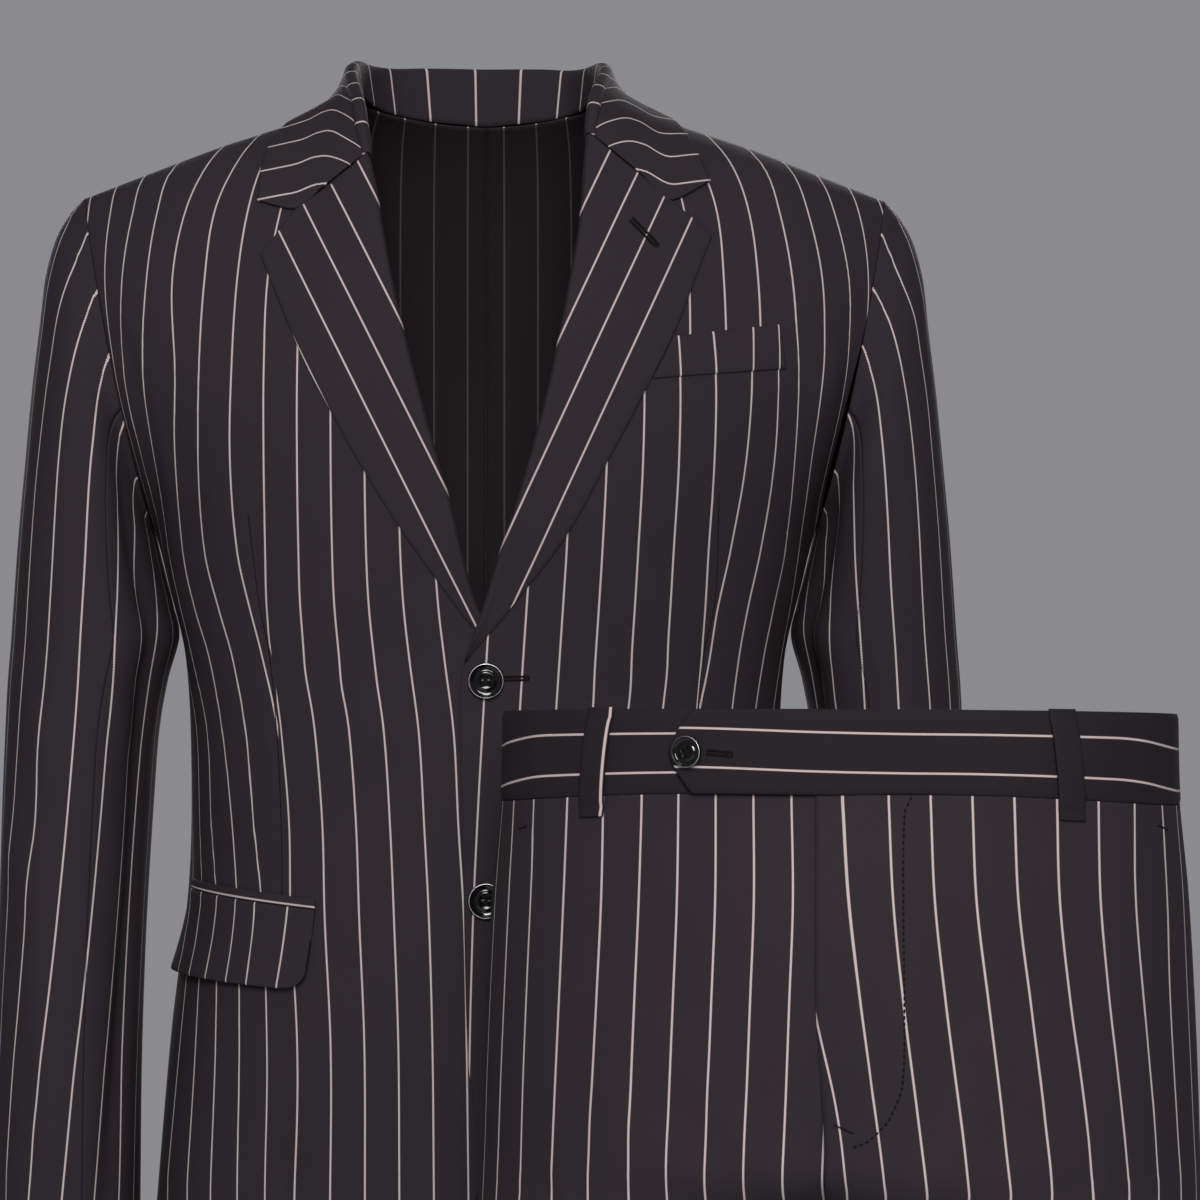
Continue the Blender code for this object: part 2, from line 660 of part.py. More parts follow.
def welt_place(u, v):
    """Place on the left front of a point of the breast welt, from the lapel's edge outward."""
    inner_z = mix(WELT["inner_top"], WELT["inner_foot"], v)
    inner_x = ease(LAPEL_EDGE["left"], "x", inner_z) + 3 * SEAM
    outer = mix(Vector(WELT["outer_top"]), Vector(WELT["outer_foot"]), v)
    return mix(inner_x, outer.x, u), mix(inner_z, outer.y, u), 0.0


def build_pockets():
    """Breast welt on the wearer's left, and a jet and flap on each side."""
    body_patch("breast_welt", "left", welt_place, SEAM, TRIM_CLOTH, 8, 3, CLOTH)
    for side in SIDES:
        body_patch("pocket_jet_" + side, side, jet_place, 2 * SEAM, TRIM_CLOTH, 10, 1, CLOTH)
        body_patch("pocket_flap_" + side, side, flap_place, 2 * SEAM, JACKET_CLOTH, 12, 4, CLOTH)


def build_button(name, place, outward, radius):
    """A turned button with a raised rim and a dished middle, standing on the cloth."""
    height = BUTTON_THICKNESS
    profile = [(0.0, 0.62 * height), (0.42 * radius, 0.62 * height), (0.52 * radius, 0.80 * height),
               (0.80 * radius, 0.84 * height), (0.90 * radius, height), (0.97 * radius, 0.92 * height),
               (radius, 0.60 * height), (0.90 * radius, 0.18 * height), (0.72 * radius, 0.0), (0.0, 0.0)]
    mesh = bpy.data.meshes.new(name)
    outline = bmesh.new()
    verts = [outline.verts.new((r, 0, h)) for r, h in profile]
    for a, b in zip(verts, verts[1:]):
        outline.edges.new((a, b))
    outline.to_mesh(mesh)
    outline.free()
    piece = bpy.data.objects.new(name, mesh)
    mesh.materials.append(BUTTON)
    SUIT.objects.link(piece)
    screw = piece.modifiers.new("turned", "SCREW")
    screw.steps = BUTTON_SIDES
    screw.render_steps = BUTTON_SIDES
    screw.use_merge_vertices = True
    screw.merge_threshold = 0.00005
    screw.use_smooth_shade = True
    piece.location = place + outward * BUTTON_SHANK
    piece.rotation_euler = outward.to_track_quat("Z", "Y").to_euler()
    return piece


def hip_point(angle, z, lift=0.0):
    """A point round the trousers' hips: angle 0 at the front, a quarter turn at the wearer's left."""
    face = -1 if math.cos(angle) >= 0 else 1
    half = ease(HIPS, "side", z) + lift
    depth = ease(HIPS, "front" if face < 0 else "back", z) + lift
    x = half * signed_power(math.sin(angle), 2 / ROUNDNESS)
    y = -depth * signed_power(math.cos(angle), 2 / ROUNDNESS)
    return Vector((x, y, z))


def angle_at(x, z=BAND_FOOT_Z):
    """The angle round the front of the hips that reaches a distance from the centre."""
    return math.asin(signed_power(x / ease(HIPS, "side", z), ROUNDNESS / 2))


def band_top(angle):
    """The waistband's upper edge drops a little to the back."""
    return BAND_TOP_Z - BAND_BACK_DROP * (0.5 - 0.5 * math.cos(angle))


def band_foot(angle):
    """The waistband's lower seam dips toward the sides."""
    turn = min(abs(math.remainder(angle, 2 * math.pi)), math.pi / 2)
    return BAND_FOOT_Z - BAND_SIDE_DIP * smooth_step(0.2, math.pi / 2, turn)


def leg_point(side, face, u, z):
    """A point of a trouser panel: u runs from the side seam to the centre or the inside leg."""
    sign = SIDES[side]
    hip = math.pi / 2 * (1 - u)
    half = ease(HIPS, "side", z)
    depth = ease(HIPS, "front" if face < 0 else "back", z)
    x_hip = half * signed_power(math.sin(hip), 2 / ROUNDNESS)
    y_hip = face * depth * signed_power(math.cos(hip), 2 / ROUNDNESS)
    turn = math.pi * u
    deep = ease(LEG, "front" if face < 0 else "back", z)
    x_leg = ease(LEG, "middle_x", z) + ease(LEG, "half", z) * signed_power(math.cos(turn), 2 / ROUNDNESS)
    y_leg = face * deep * signed_power(math.sin(turn), 2 / ROUNDNESS)
    share = 1 - smooth_step(CROTCH_Z, FORK_START_Z, z)
    return Vector((sign * mix(x_hip, x_leg, share), mix(y_hip, y_leg, share), z))


def trouser_panel(name, side, face, columns, material):
    """A front or back of the trousers, from the hem to the waistband's seam."""
    sign = SIDES[side]
    shares = (0.0, 0.14, 0.28, 0.42, 0.54, 0.63, 0.70, 0.745, 0.780, 0.810, 0.835, 0.860, 0.895,
              0.935, 0.97, 1.0)
    outer = []
    inner = []
    for share in shares:
        outer_row = []
        inner_row = []
        for j in range(columns + 1):
            u = j / columns
            hip = math.pi / 2 * (1 - u)
            top = band_foot(hip if face < 0 else math.pi - hip) - SEAM
            z = mix(TROUSER_HEM_Z, top, share)
            point = leg_point(side, face, u, z)
            wide = leg_point(side, face, u + 0.004, z) - leg_point(side, face, u - 0.004, z)
            tall = leg_point(side, face, u, z + 0.004) - leg_point(side, face, u, z - 0.004)
            out = wide.cross(tall).normalized() * face * sign
            if face < 0 and side == "left":
                point += out * FLY_LIFT * smooth_step(0.80, 0.90, u) * smooth_step(-0.594, -0.562, z)
                point.x -= (FLY_LAP + SEAM) * smooth_step(0.95, 1.0, u) * smooth_step(-0.5385, -0.512, z)
            thin = point - out * TROUSER_CLOTH
            for spot in (point, thin):
                if spot.y * face < SEAM / 2 and (u < 0.1 or u > 0.9):
                    spot.y = face * SEAM / 2
                lapping = face < 0 and side == "left" and z > -0.5385
                if spot.x * sign < SEAM / 2 and not lapping:
                    spot.x = sign * SEAM / 2
            outer_row.append(point)
            inner_row.append(thin)
        outer.append(outer_row)
        inner.append(inner_row)
    return wall(name, outer, inner, material)


def build_waistband(side, columns=30):
    """Half of the waistband; the left one ends in a pointed tab over the right one."""
    sign = SIDES[side]
    front = angle_at(-TAB_REACH) if side == "left" else SEAM / 0.2
    back = math.pi - SEAM / 0.2
    outer = []
    inner = []
    for v in (0.0, 0.5, 1.0):
        outer_row = []
        inner_row = []
        for j in range(columns + 1):
            angle = mix(front, back, j / columns)
            if side == "left":
                angle += angle_at(TAB_POINT) * abs(2 * v - 1) ** 1.3 * max(0.0, 1 - j / 2)
            z = mix(band_foot(angle), band_top(angle), v)
            lift = 0.0006
            if side == "left":
                lift += TAB_LIFT * (1 - smooth_step(0.02, 0.16, angle))
            point = hip_point(sign * angle, z, lift)
            thin = hip_point(sign * angle, z, lift - BAND_CLOTH)
            for spot in (point, thin):
                if (side == "right" or angle > 2) and spot.x * sign < SEAM / 2:
                    spot.x = sign * SEAM / 2
            outer_row.append(point)
            inner_row.append(thin)
        outer.append(outer_row)
        inner.append(inner_row)
    return wall("waistband_" + side, outer, inner, CLOTH)


def build_loop(name, angle, slant):
    """A belt loop: a narrow folded strip from over the band's top edge to below its seam."""
    lift = 0.0006 + SEAM
    if 0.02 < angle < 0.16:
        lift += TAB_LIFT
    half_angle = LOOP_HALF_WIDTH / 0.150
    outer = []
    inner = []
    for v in (0.0, 0.12, 0.3, 0.5, 0.7, 0.88, 1.0):
        outer_row = []
        inner_row = []
        for j in range(3):
            turn = angle + half_angle * (j - 1) + slant * (0.5 - v)
            z = mix(band_foot(turn) - LOOP_OVERHANG, band_top(turn) + 0.001, v)
            proud = 0.0022 * math.sin(math.pi * min(max((v - 0.1) / 0.8, 0), 1)) ** 0.5
            outer_row.append(hip_point(turn, z, lift + proud + TRIM_CLOTH))
            inner_row.append(hip_point(turn, z, lift + proud))
        outer.append(outer_row)
        inner.append(inner_row)
    return wall(name, outer, inner, CLOTH)


def build_trousers():
    """Fronts, backs, waistband, loops and button, then the whole garment set in its place."""
    pieces = []
    for side in SIDES:
        pieces.append(trouser_panel("trouser_front_" + side, side, -1, 11, CLOTH))
        pieces.append(trouser_panel("trouser_back_" + side, side, 1, 11, CLOTH))
        pieces.append(build_waistband(side))
    spots = [angle_at(x) for x in LOOP_SPREAD] + [math.pi - angle_at(x) for x in LOOP_BACK_SPREAD]
    slants = (0.05, -0.05, 0.0, 0.0, 0.0)
    for number, (angle, slant) in enumerate(zip(spots, slants), 1):
        pieces.append(build_loop("belt_loop_%d" % number, angle, slant))
    angle = angle_at(TAB_BUTTON_X)
    level = 0.5 * (band_top(angle) + band_foot(angle))
    seat = hip_point(angle, level, 0.0006 + TAB_LIFT + SEAM)
    out = (hip_point(angle, level, 0.01) - hip_point(angle, level, 0.0)).normalized()
    pieces.append(build_button("waistband_button", seat, out, WAIST_BUTTON_RADIUS))
    setting = Matrix.Translation(TROUSER_PLACE) @ Matrix.Rotation(TROUSER_TURN, 4, "Z")
    for piece in pieces:
        local = Matrix.LocRotScale(piece.location, piece.rotation_euler, None)
        piece.matrix_world = setting @ local


for old in list(bpy.data.objects):
    bpy.data.objects.remove(old, do_unlink=True)
SUIT = bpy.data.collections.new("pinstripe_suit")
bpy.context.scene.collection.children.link(SUIT)
CLOTH = finish_material("suit_cloth", (0.030, 0.025, 0.029), 0.85)
BUTTON = finish_material("button_black", (0.012, 0.012, 0.013), 0.25)

build_bodies()
build_sleeves()
for lapel_side in SIDES:
    build_lapel(lapel_side)
build_collar()
build_pockets()
for button_name, button_z in zip(("jacket_button_upper", "jacket_button_lower"), JACKET_BUTTON_Z):
    button_seat = lay_on_front("left", 0.0, button_z, 0.0)
    build_button(button_name, button_seat, body_normal(body_point(0.0, button_z, -1)), JACKET_BUTTON_RADIUS)
build_trousers()
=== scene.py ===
"""The looks of a single-breasted pinstripe suit: cloth, stripes, folds, stitches and buttons.

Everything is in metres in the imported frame: +Z up, the front faces -Y, +X is the wearer's left.
"""
import math

import bmesh
import bpy
import numpy as np
from mathutils import Matrix, Vector
from mathutils.bvhtree import BVHTree


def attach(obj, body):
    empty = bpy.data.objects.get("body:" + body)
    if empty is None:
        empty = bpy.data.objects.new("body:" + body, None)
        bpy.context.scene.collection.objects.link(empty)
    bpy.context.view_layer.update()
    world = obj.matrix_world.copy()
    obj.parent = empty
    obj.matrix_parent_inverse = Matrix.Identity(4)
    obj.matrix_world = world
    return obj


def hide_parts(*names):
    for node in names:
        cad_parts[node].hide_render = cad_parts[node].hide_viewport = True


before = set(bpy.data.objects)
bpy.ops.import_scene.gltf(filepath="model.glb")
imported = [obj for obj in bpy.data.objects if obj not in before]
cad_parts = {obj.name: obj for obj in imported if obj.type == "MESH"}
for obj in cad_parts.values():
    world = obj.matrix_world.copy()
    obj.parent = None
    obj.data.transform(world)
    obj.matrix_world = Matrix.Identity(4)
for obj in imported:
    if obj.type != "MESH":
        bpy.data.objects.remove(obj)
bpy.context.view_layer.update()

SCENE = bpy.context.scene

# The camera stands level in front of the chest, a little over two metres away, and looks
# slightly to the wearer's left, so that both garments share one picture.
CAMERA_DISTANCE = 2.05
CAMERA_LEVEL = -0.277
CAMERA_YAW = math.radians(1.841)
PICTURE_WIDTH = 0.6936
SENSOR = 36.0


def add_object(name, data):
    """A new object in the scene."""
    thing = bpy.data.objects.new(name, data)
    SCENE.collection.objects.link(thing)
    return thing


lens = bpy.data.cameras.new("front_camera")
lens.sensor_width = SENSOR
lens.lens = SENSOR * CAMERA_DISTANCE / PICTURE_WIDTH
camera = add_object("front_camera", lens)
camera.location = (0.0, -CAMERA_DISTANCE, CAMERA_LEVEL)
camera.rotation_euler = (math.pi / 2, 0.0, -CAMERA_YAW)
SCENE.camera = camera

# A plain studio: a pale round floor under the trousers' hems, an even grey behind, and large
# soft lamps from both sides of the front, above and behind, so that black cloth keeps its form.
FLOOR_LEVEL = -1.3915
FLOOR_RADIUS = 3.0
BACKGROUND = (0.256, 0.256, 0.276)
LAMPS = {
    "key": {"at": (-0.12, -3.00, 1.05), "size": 0.9, "power": 70.0},
    "fill": {"at": (0.15, -3.00, 0.35), "size": 0.9, "power": 46.0},
    "top": {"at": (0.0, -1.2, 2.0), "size": 1.2, "power": 10.0},
    "back_left": {"at": (0.9, 2.8, 0.9), "size": 1.2, "power": 56.0},
    "back_right": {"at": (-0.9, 2.8, 0.5), "size": 1.2, "power": 40.0},
}
LAMP_AIM = Vector((0.0, 0.0, -0.5))


def set_inputs(node, values):
    """Set a node's inputs by name: sockets are linked, other values stored."""
    for name, value in values.items():
        if isinstance(value, bpy.types.NodeSocket):
            node.id_data.links.new(value, node.inputs[name])
        else:
            node.inputs[name].default_value = value


def new_node(tree, kind, values):
    """A new node with its inputs set."""
    node = tree.nodes.new(kind)
    set_inputs(node, values)
    return node


def noise(tree, place, scale, detail):
    """Fine noise at a place, from 0 to 1."""
    values = {"Vector": place, "Scale": scale, "Detail": detail}
    return new_node(tree, "ShaderNodeTexNoise", values).outputs["Fac"]


def new_material(name):
    """A material and its shader node."""
    material = bpy.data.materials.new(name)
    material.use_nodes = True
    return material, material.node_tree.nodes["Principled BSDF"]


SCENE.view_settings.view_transform = "Standard"
world = bpy.data.worlds.new("studio_grey")
world.use_nodes = True
set_inputs(world.node_tree.nodes["Background"], {"Color": (*BACKGROUND, 1.0), "Strength": 1.0})
SCENE.world = world
for lamp_name, lamp in LAMPS.items():
    light = bpy.data.lights.new(lamp_name, "AREA")
    light.shape = "DISK"
    light.size = lamp["size"]
    light.energy = lamp["power"]
    lamp_object = add_object(lamp_name, light)
    lamp_object.location = lamp["at"]
    lamp_object.rotation_euler = (LAMP_AIM - Vector(lamp["at"])).to_track_quat("-Z", "Y").to_euler()

floor_mesh = bpy.data.meshes.new("studio_floor")
disc = bmesh.new()
bmesh.ops.create_circle(disc, cap_ends=True, segments=96, radius=FLOOR_RADIUS)
bmesh.ops.translate(disc, verts=disc.verts, vec=(0.0, 0.0, FLOOR_LEVEL))
disc.to_mesh(floor_mesh)
disc.free()
studio_floor = add_object("studio_floor", floor_mesh)
floor_paint, floor_shader = new_material("pale_floor")
set_inputs(floor_shader, {"Base Color": (0.56, 0.56, 0.58, 1.0), "Roughness": 0.9})
floor_mesh.materials.append(floor_paint)

# The cloth: a fine dark worsted twill, nearly black with a brown cast, and a pale pink-beige
# stripe about every 20 mm, woven as a thin rope of slanting stitches. The wrong side is plain.
GROUND_COLOUR = (0.0180, 0.0141, 0.0168)
STRIPE_COLOUR = (0.385, 0.312, 0.300)
STRIPE_PITCH = 0.0205
JACKET_STRIPE = 0.00105
TROUSER_STRIPE = 0.00112
TWILL_PITCH = 0.0008
ROPE_PITCH = 0.0011


def math_node(tree, operation, first, second=0.0, third=0.0):
    """One sum in a node tree, between sockets or plain numbers."""
    node = tree.nodes.new("ShaderNodeMath")
    node.operation = operation
    for socket, value in zip(node.inputs, (first, second, third)):
        if isinstance(value, (int, float)):
            socket.default_value = value
        else:
            tree.links.new(value, socket)
    return node.outputs[0]


def blend_colour(tree, factor, first, second):
    """A colour between two others, by a mask."""
    node = tree.nodes.new("ShaderNodeMix")
    node.data_type = "RGBA"
    tree.links.new(factor, node.inputs["Factor"])
    for name, value in (("A", first), ("B", second)):
        socket = [s for s in node.inputs if s.name == name and s.type == "RGBA"][0]
        if isinstance(value, tuple):
            socket.default_value = (*value, 1.0)
        else:
            tree.links.new(value, socket)
    return [s for s in node.outputs if s.type == "RGBA"][0]


def new_group(name, kind, inputs, outputs):
    """A new node group, and the sockets that it reads from."""
    tree = bpy.data.node_groups.new(name, kind)
    for way, sockets in (("INPUT", inputs), ("OUTPUT", outputs)):
        for label, socket in sockets.items():
            tree.interface.new_socket(label, in_out=way, socket_type="NodeSocket" + socket)
    return tree, tree.nodes.new("NodeGroupInput").outputs


def build_twill_group():
    """Pinstriped twill: stripe mask, cloth colour and thread height from the cloth's own UV map."""
    tree, source = new_group(
        "pinstriped_twill", "ShaderNodeTree",
        {"Place": "Vector", "Ground": "Color", "Stripe": "Color", "Half Width": "Float", "Strength": "Float"},
        {"Colour": "Color", "Roughness": "Float", "Height": "Float"})
    place = new_node(tree, "ShaderNodeSeparateXYZ", {"Vector": source["Place"]}).outputs

    def work(operation, *values):
        return math_node(tree, operation, *values)

    # Twill ribs rise steeply across the cloth; the stripe's rope slants the same way
    across = work("MULTIPLY", place["X"], STRIPE_PITCH)
    slant = work("MULTIPLY_ADD", across, 1.6, place["Y"])
    rib = work("SINE", work("MULTIPLY", slant, 2 * math.pi / TWILL_PITCH))
    rope = work("SINE", work("MULTIPLY", slant, 2 * math.pi / ROPE_PITCH))

    # Distance from the middle of the nearest stripe, as a share of the pitch
    cell = work("FRACT", work("ADD", place["X"], 0.5))
    half = work("MULTIPLY_ADD", rope, 0.0030, source["Half Width"])
    edge = tree.nodes.new("ShaderNodeMapRange")
    edge.interpolation_type = "SMOOTHSTEP"
    set_inputs(edge, {"Value": work("ABSOLUTE", work("SUBTRACT", cell, 0.5)),
                      "From Min": work("MULTIPLY", half, 0.72), "From Max": work("MULTIPLY", half, 1.22),
                      "To Min": 1.0, "To Max": 0.0})
    mask = work("MULTIPLY", edge.outputs["Result"], source["Strength"])

    # Uneven dye and handling over the cloth, and single fibres
    spread = new_node(tree, "ShaderNodeCombineXYZ", {"X": across, "Y": place["Y"]}).outputs[0]
    patches = noise(tree, spread, 9.0, 4.0)
    fibres = noise(tree, spread, 900.0, 2.0)
    shade = work("MULTIPLY_ADD", rib, 0.10, work("MULTIPLY_ADD", patches, 0.34, 0.83))
    shade = work("MULTIPLY_ADD", fibres, 0.36, work("SUBTRACT", shade, 0.18))
    pale = work("SUBTRACT", work("MULTIPLY_ADD", rope, 0.16, 0.90), 0.10)
    pale = work("MULTIPLY_ADD", fibres, 0.20, pale)
    tones = []
    for colour, factor in ((source["Ground"], shade), (source["Stripe"], pale)):
        tone = tree.nodes.new("ShaderNodeVectorMath")
        tone.operation = "SCALE"
        set_inputs(tone, {"Vector": colour, "Scale": factor})
        tones.append(tone.outputs[0])
    height = work("MULTIPLY_ADD", rib, 0.5, work("MULTIPLY", mask, 0.7))
    new_node(tree, "NodeGroupOutput", {
        "Colour": blend_colour(tree, mask, *tones),
        "Roughness": work("MULTIPLY_ADD", patches, 0.16, 0.70),
        "Height": work("MULTIPLY_ADD", work("MULTIPLY", rope, mask), 0.5, height)})
    return tree


TWILL = build_twill_group()


def cloth_material(name, stripe_width, strength=1.0, ground=GROUND_COLOUR):
    """Suit cloth with a stripe of a real width; on the wrong side it hardly shows."""
    material, shader = new_material(name)
    tree = material.node_tree
    place = tree.nodes.new("ShaderNodeUVMap")
    place.uv_map = "cloth"
    twill = tree.nodes.new("ShaderNodeGroup")
    twill.node_tree = TWILL
    set_inputs(twill, {"Place": place.outputs["UV"], "Ground": (*ground, 1.0),
                       "Stripe": (*STRIPE_COLOUR, 1.0), "Strength": strength,
                       "Half Width": 0.5 * stripe_width / STRIPE_PITCH})
    bump = new_node(tree, "ShaderNodeBump",
                    {"Strength": 0.35, "Distance": 0.00012, "Height": twill.outputs["Height"]})
    set_inputs(shader, {"Base Color": twill.outputs["Colour"], "Roughness": twill.outputs["Roughness"],
                        "Normal": bump.outputs["Normal"], "Specular IOR Level": 0.06, "Sheen Weight": 0.006,
                        "Sheen Roughness": 0.45, "Sheen Tint": (0.62, 0.56, 0.60, 1.0)})
    return material


JACKET_FACE = cloth_material("jacket_twill", JACKET_STRIPE)
TROUSER_FACE = cloth_material("trouser_twill", TROUSER_STRIPE)
# The waistband and belt loops: the same twill with its ground darkened by about a third, painted shade for
# the dimmer light on the band.
BAND_TWILL_PAINTED_SHADE = cloth_material("band_twill_with_painted_shade", TROUSER_STRIPE, ground=(0.0118, 0.0092, 0.0110))
WRONG_SIDE = cloth_material("twill_wrong_side", JACKET_STRIPE, 0.10, (0.0100, 0.0080, 0.0092))

# The jacket's body: two fronts and two backs, cut from the twill. Each is a thin shell on one
# form, a rounded oval at every level that closes to the shoulder ridge over the underarm.
JACKET_CLOTH = 0.0018
SEAM = 0.0003
LAP_LIFT = JACKET_CLOTH + 3 * SEAM
ROUNDNESS = 2.3
UNDERARM_Z = -0.236
SHOULDER_X = 0.2295
SHOULDER_Z = -0.0457
UNDERARM_X = 0.1905
FOLD_RADIUS = 0.0026
NECK_X = {"right": 0.0740, "left": 0.0660}
NECK_BACK_Z = 0.0050
NECK_POINT_Z = 0.0120
HEM_Z = -0.755
SIDES = {"right": -1, "left": 1}


def metres(table):
    """A table written in millimetres, in metres."""
    if isinstance(table, dict):
        return {key: metres(item) for key, item in table.items()}
    if isinstance(table, tuple):
        return tuple(metres(item) for item in table)
    return table / 1000


BODY = metres({
    "z": (-755, -624, -520, -440, -375, -310, -270, -236, -200, -150, -100, 50),
    "side": (200, 189, 180, 170.5, 169, 172.2, 181.5, 190.5, 207, 232, 245, 252),
    "front": (128.5, 129, 127, 123, 120, 120.5, 122.5, 125, 125, 124, 122, 120),
    "back": (127, 128, 124, 116, 110, 112, 117, 122, 124, 124, 122, 120),
})
RIDGE = metres({
    "x": (0, 75, 100, 128, 152, 190, 229.5, 260),
    "z": (39, 12.5, 0.5, -9, -16.8, -31, -45.7, -57),
})
FRONT_EDGE = metres({
    "right": {
        "z": (-755, -748, -730, -690, -640, -600, -560, -520, -330, -305, -277, -221.7, -175.6, -117.2,
              -74.7, -48.4, -22.3, -2.1, 15),
        "x": (105, 80, 54, 29, 13, 4, -9, -14, -14, -8, 6, 20, 33.1, 47.8, 56.3, 60.6, 66.5, 68.8, 72.5),
    },
    "left": {
        "z": (-755, -748, -730, -690, -640, -601.4, -556.6, -525.2, -422.1, -342.6, -317.7, -301.4,
              -282.4, -255.3, -217.4, -168.4, -130.1, -79.5, -60.9, -33.6, -3.3, 9, 20),
        "x": (105, 80, 54, 27, 7, -4.3, -5.9, -9.7, -12.4, -14.1, -13.5, -8.7, -2.2, 6, 18.4, 32, 40.3,
              49.8, 52.2, 54.4, 58.2, 64, 66.5),
    },
})

# Where single stripes run on the fronts, as distances out from the centre plane at each level.
# Stripes are counted outward; the waist dart swallows the sixth, and the welt hides a step.
STRIPES = metres({
    "right": {
        "z": (-600, -520, -450, -400, -350, -310, -280, -250, -200, -150, -100, -60, -30, 0),
        "0": (9.5, 10.5, 12, 15, 17.5, 22.5, 26, 28, 29, 29, 28, 22, 20, 18),
        "5": (103, 103, 107, 108, 112.5, 118, 120.5, 121, 121.5, 121.5, 120, 113.5, 106, 94),
        "6": (104, 104.5, 106, 109, 114.5, 122.5, 130.5, 137, 140.5, 139.5, 137, 132, 124, 107),
        "7": (120, 120, 123, 128.5, 133, 140.5, 149, 156, 158.5, 158, 155.5, 151, 139.5, 122),
        "8": (136.5, 136, 137.5, 141, 147, 154.5, 163.5, 169.5, 172, 171.5, 174, 168, 156.5, 138),
        "9": (152.5, 150, 150, 154, 156.5, 165.5, 172.5, 179, 185, 190.5, 189, 184.5, 177, 150),
        "10": (166.5, 161.5, 159.5, 161.5, 163.5, 171.5, 177, 183, 192.5, 202, 203.5, 199, 192.5, 165),
        "11": (178.5, 171, 166, 167, 170, 176.5, 181, 186, 196, 207, 213.5, 212.5, 207, 178),
    },
    "left": {
        "z": (-600, -520, -450, -400, -350, -310, -280, -250, -200, -150, -100, -60, -30, 0),
        "0": (9, 10, 12, 14.5, 17.5, 20, 22, 24, 26, 27, 27, 22, 19, 17),
        "5": (103, 104, 107, 111, 115.5, 119, 121, 122.5, 125.5, 126, 121, 115, 110, 98),
        "6": (104, 104.5, 106, 110, 116, 123.5, 128.5, 135, 143.5, 147, 146, 140, 133, 114),
        "7": (122, 122, 125, 130, 135.5, 141, 146.5, 153, 160, 162, 160, 154, 146, 127),
        "8": (138, 137, 139, 143, 149.5, 156, 162, 168, 172, 173.5, 171, 165, 157, 139),
        "9": (153, 151, 152, 156, 161.5, 168, 173.5, 177.5, 182, 188.5, 188.5, 182, 173, 152),
        "10": (167, 163, 162, 165, 169.5, 175.5, 181, 186, 194, 202.5, 204.5, 198, 188.5, 166),
        "11": (179, 173, 169, 171, 174.5, 180, 186, 191, 201, 211, 216, 214, 209.5, 180),
    },
})
CHEST_STRIPES = metres({
    "z": (-150, -100, -60, -30, 0),
    "5": (112, 112, 110, 101, 86),
    "6": (132.5, 131.5, 128.5, 119, 101),
    "7": (152, 151, 147, 138, 119),
    "8": (173.5, 171, 165, 157, 136),
    "9": (188.5, 188.5, 182, 173, 151),
    "10": (202.5, 204.5, 198, 188.5, 165),
    "11": (211, 216, 213, 204, 179),
})
WELT_STEP = {"level": -0.142, "outer_x": 0.166}
DARTS = metres({
    "right": {
        "z": (-755, -434, -381, -340, -308, -277, -230.6),
        "x": (111.9, 111.9, 113.1, 115.8, 119, 124.9, 130.3),
    },
    "left": {
        "z": (-755, -434, -381, -340, -308, -277, -218.9),
        "x": (111.9, 111.9, 113.5, 116.5, 120, 126.5, 128.1),
    },
})

# Soft folds in front view, in millimetres: x and z of one end and of the other, how wide and how
# proud; troughs are below zero
BODY_FOLDS = {
    "front": (
        (-206, -120, -184, -245, 6, -2.4), (-197, -135, -178, -215, 8, 1.6),
        (-176, -170, -160, -300, 10, -1.4), (-165, -240, -150, -330, 13, 1.3),
        (205, -120, 186, -240, 6.5, -2.4), (196, -140, 176, -235, 8.5, 1.7),
        (182, -180, 160, -300, 11, -1.3), (168, -235, 148, -330, 13, 1.2),
        (-60, -330, -130, -300, 12, -0.8), (50, -345, 120, -310, 13, -0.7),
        (-150, -480, -165, -720, 18, 2.2), (150, -500, 168, -730, 20, 2.2),
        (-120, -560, -110, -740, 22, -1.6), (95, -580, 100, -735, 25, -1.4),
    ),
    "back": (
        (-190, -110, -165, -240, 9, -3), (-178, -150, -150, -290, 11, 2.6),
        (-155, -200, -110, -310, 13, -1.8), (186, -120, 160, -250, 9, -3), (176, -160, 146, -285, 12, 2.5),
        (158, -210, 105, -300, 13, -1.8), (0, -60, 10, -260, 16, -1), (-80, -330, 40, -350, 10, -1.4),
        (75, -345, -30, -325, 11, -1.2), (-110, -420, -135, -730, 22, 2.8), (120, -440, 140, -720, 24, 3),
        (20, -300, 110, -330, 12, 1.2), (-40, -310, -120, -345, 11, 1.3),
    ),
}


def ease(table, wanted, at, key="z"):
    """Read one column of a table at one or many levels, on a smooth curve through its rows."""
    levels = np.array(table[key], float)
    values = np.array(table[wanted], float)
    if levels[0] > levels[-1]:
        levels = levels[::-1]
        values = values[::-1]
    last = len(levels) - 1
    index = np.arange(last + 1)
    low = np.maximum(index - 1, 0)
    high = np.minimum(index + 1, last)
    slopes = (values[high] - values[low]) / (levels[high] - levels[low])
    at = np.clip(np.asarray(at, float), levels[0], levels[-1])
    row = np.clip(np.searchsorted(levels, at, side="right") - 1, 0, last - 1)
    span = levels[row + 1] - levels[row]
    t = (at - levels[row]) / span
    start = (1 + 2 * t) * (1 - t) ** 2 * values[row] + t * (1 - t) ** 2 * span * slopes[row]
    return start + t * t * (3 - 2 * t) * values[row + 1] + t * t * (t - 1) * span * slopes[row + 1]


def smooth_step(low, high, value):
    """0 below low, 1 above high, with a soft change between."""
    t = np.clip((np.asarray(value, float) - low) / (high - low), 0.0, 1.0)
    return t * t * (3 - 2 * t)


def mix(a, b, t):
    """The value a share t of the way from a to b."""
    return a * (1 - t) + b * t


def signed_power(value, power):
    """A power that keeps the sign, for rounded-off ovals."""
    return np.sign(value) * np.abs(value) ** power


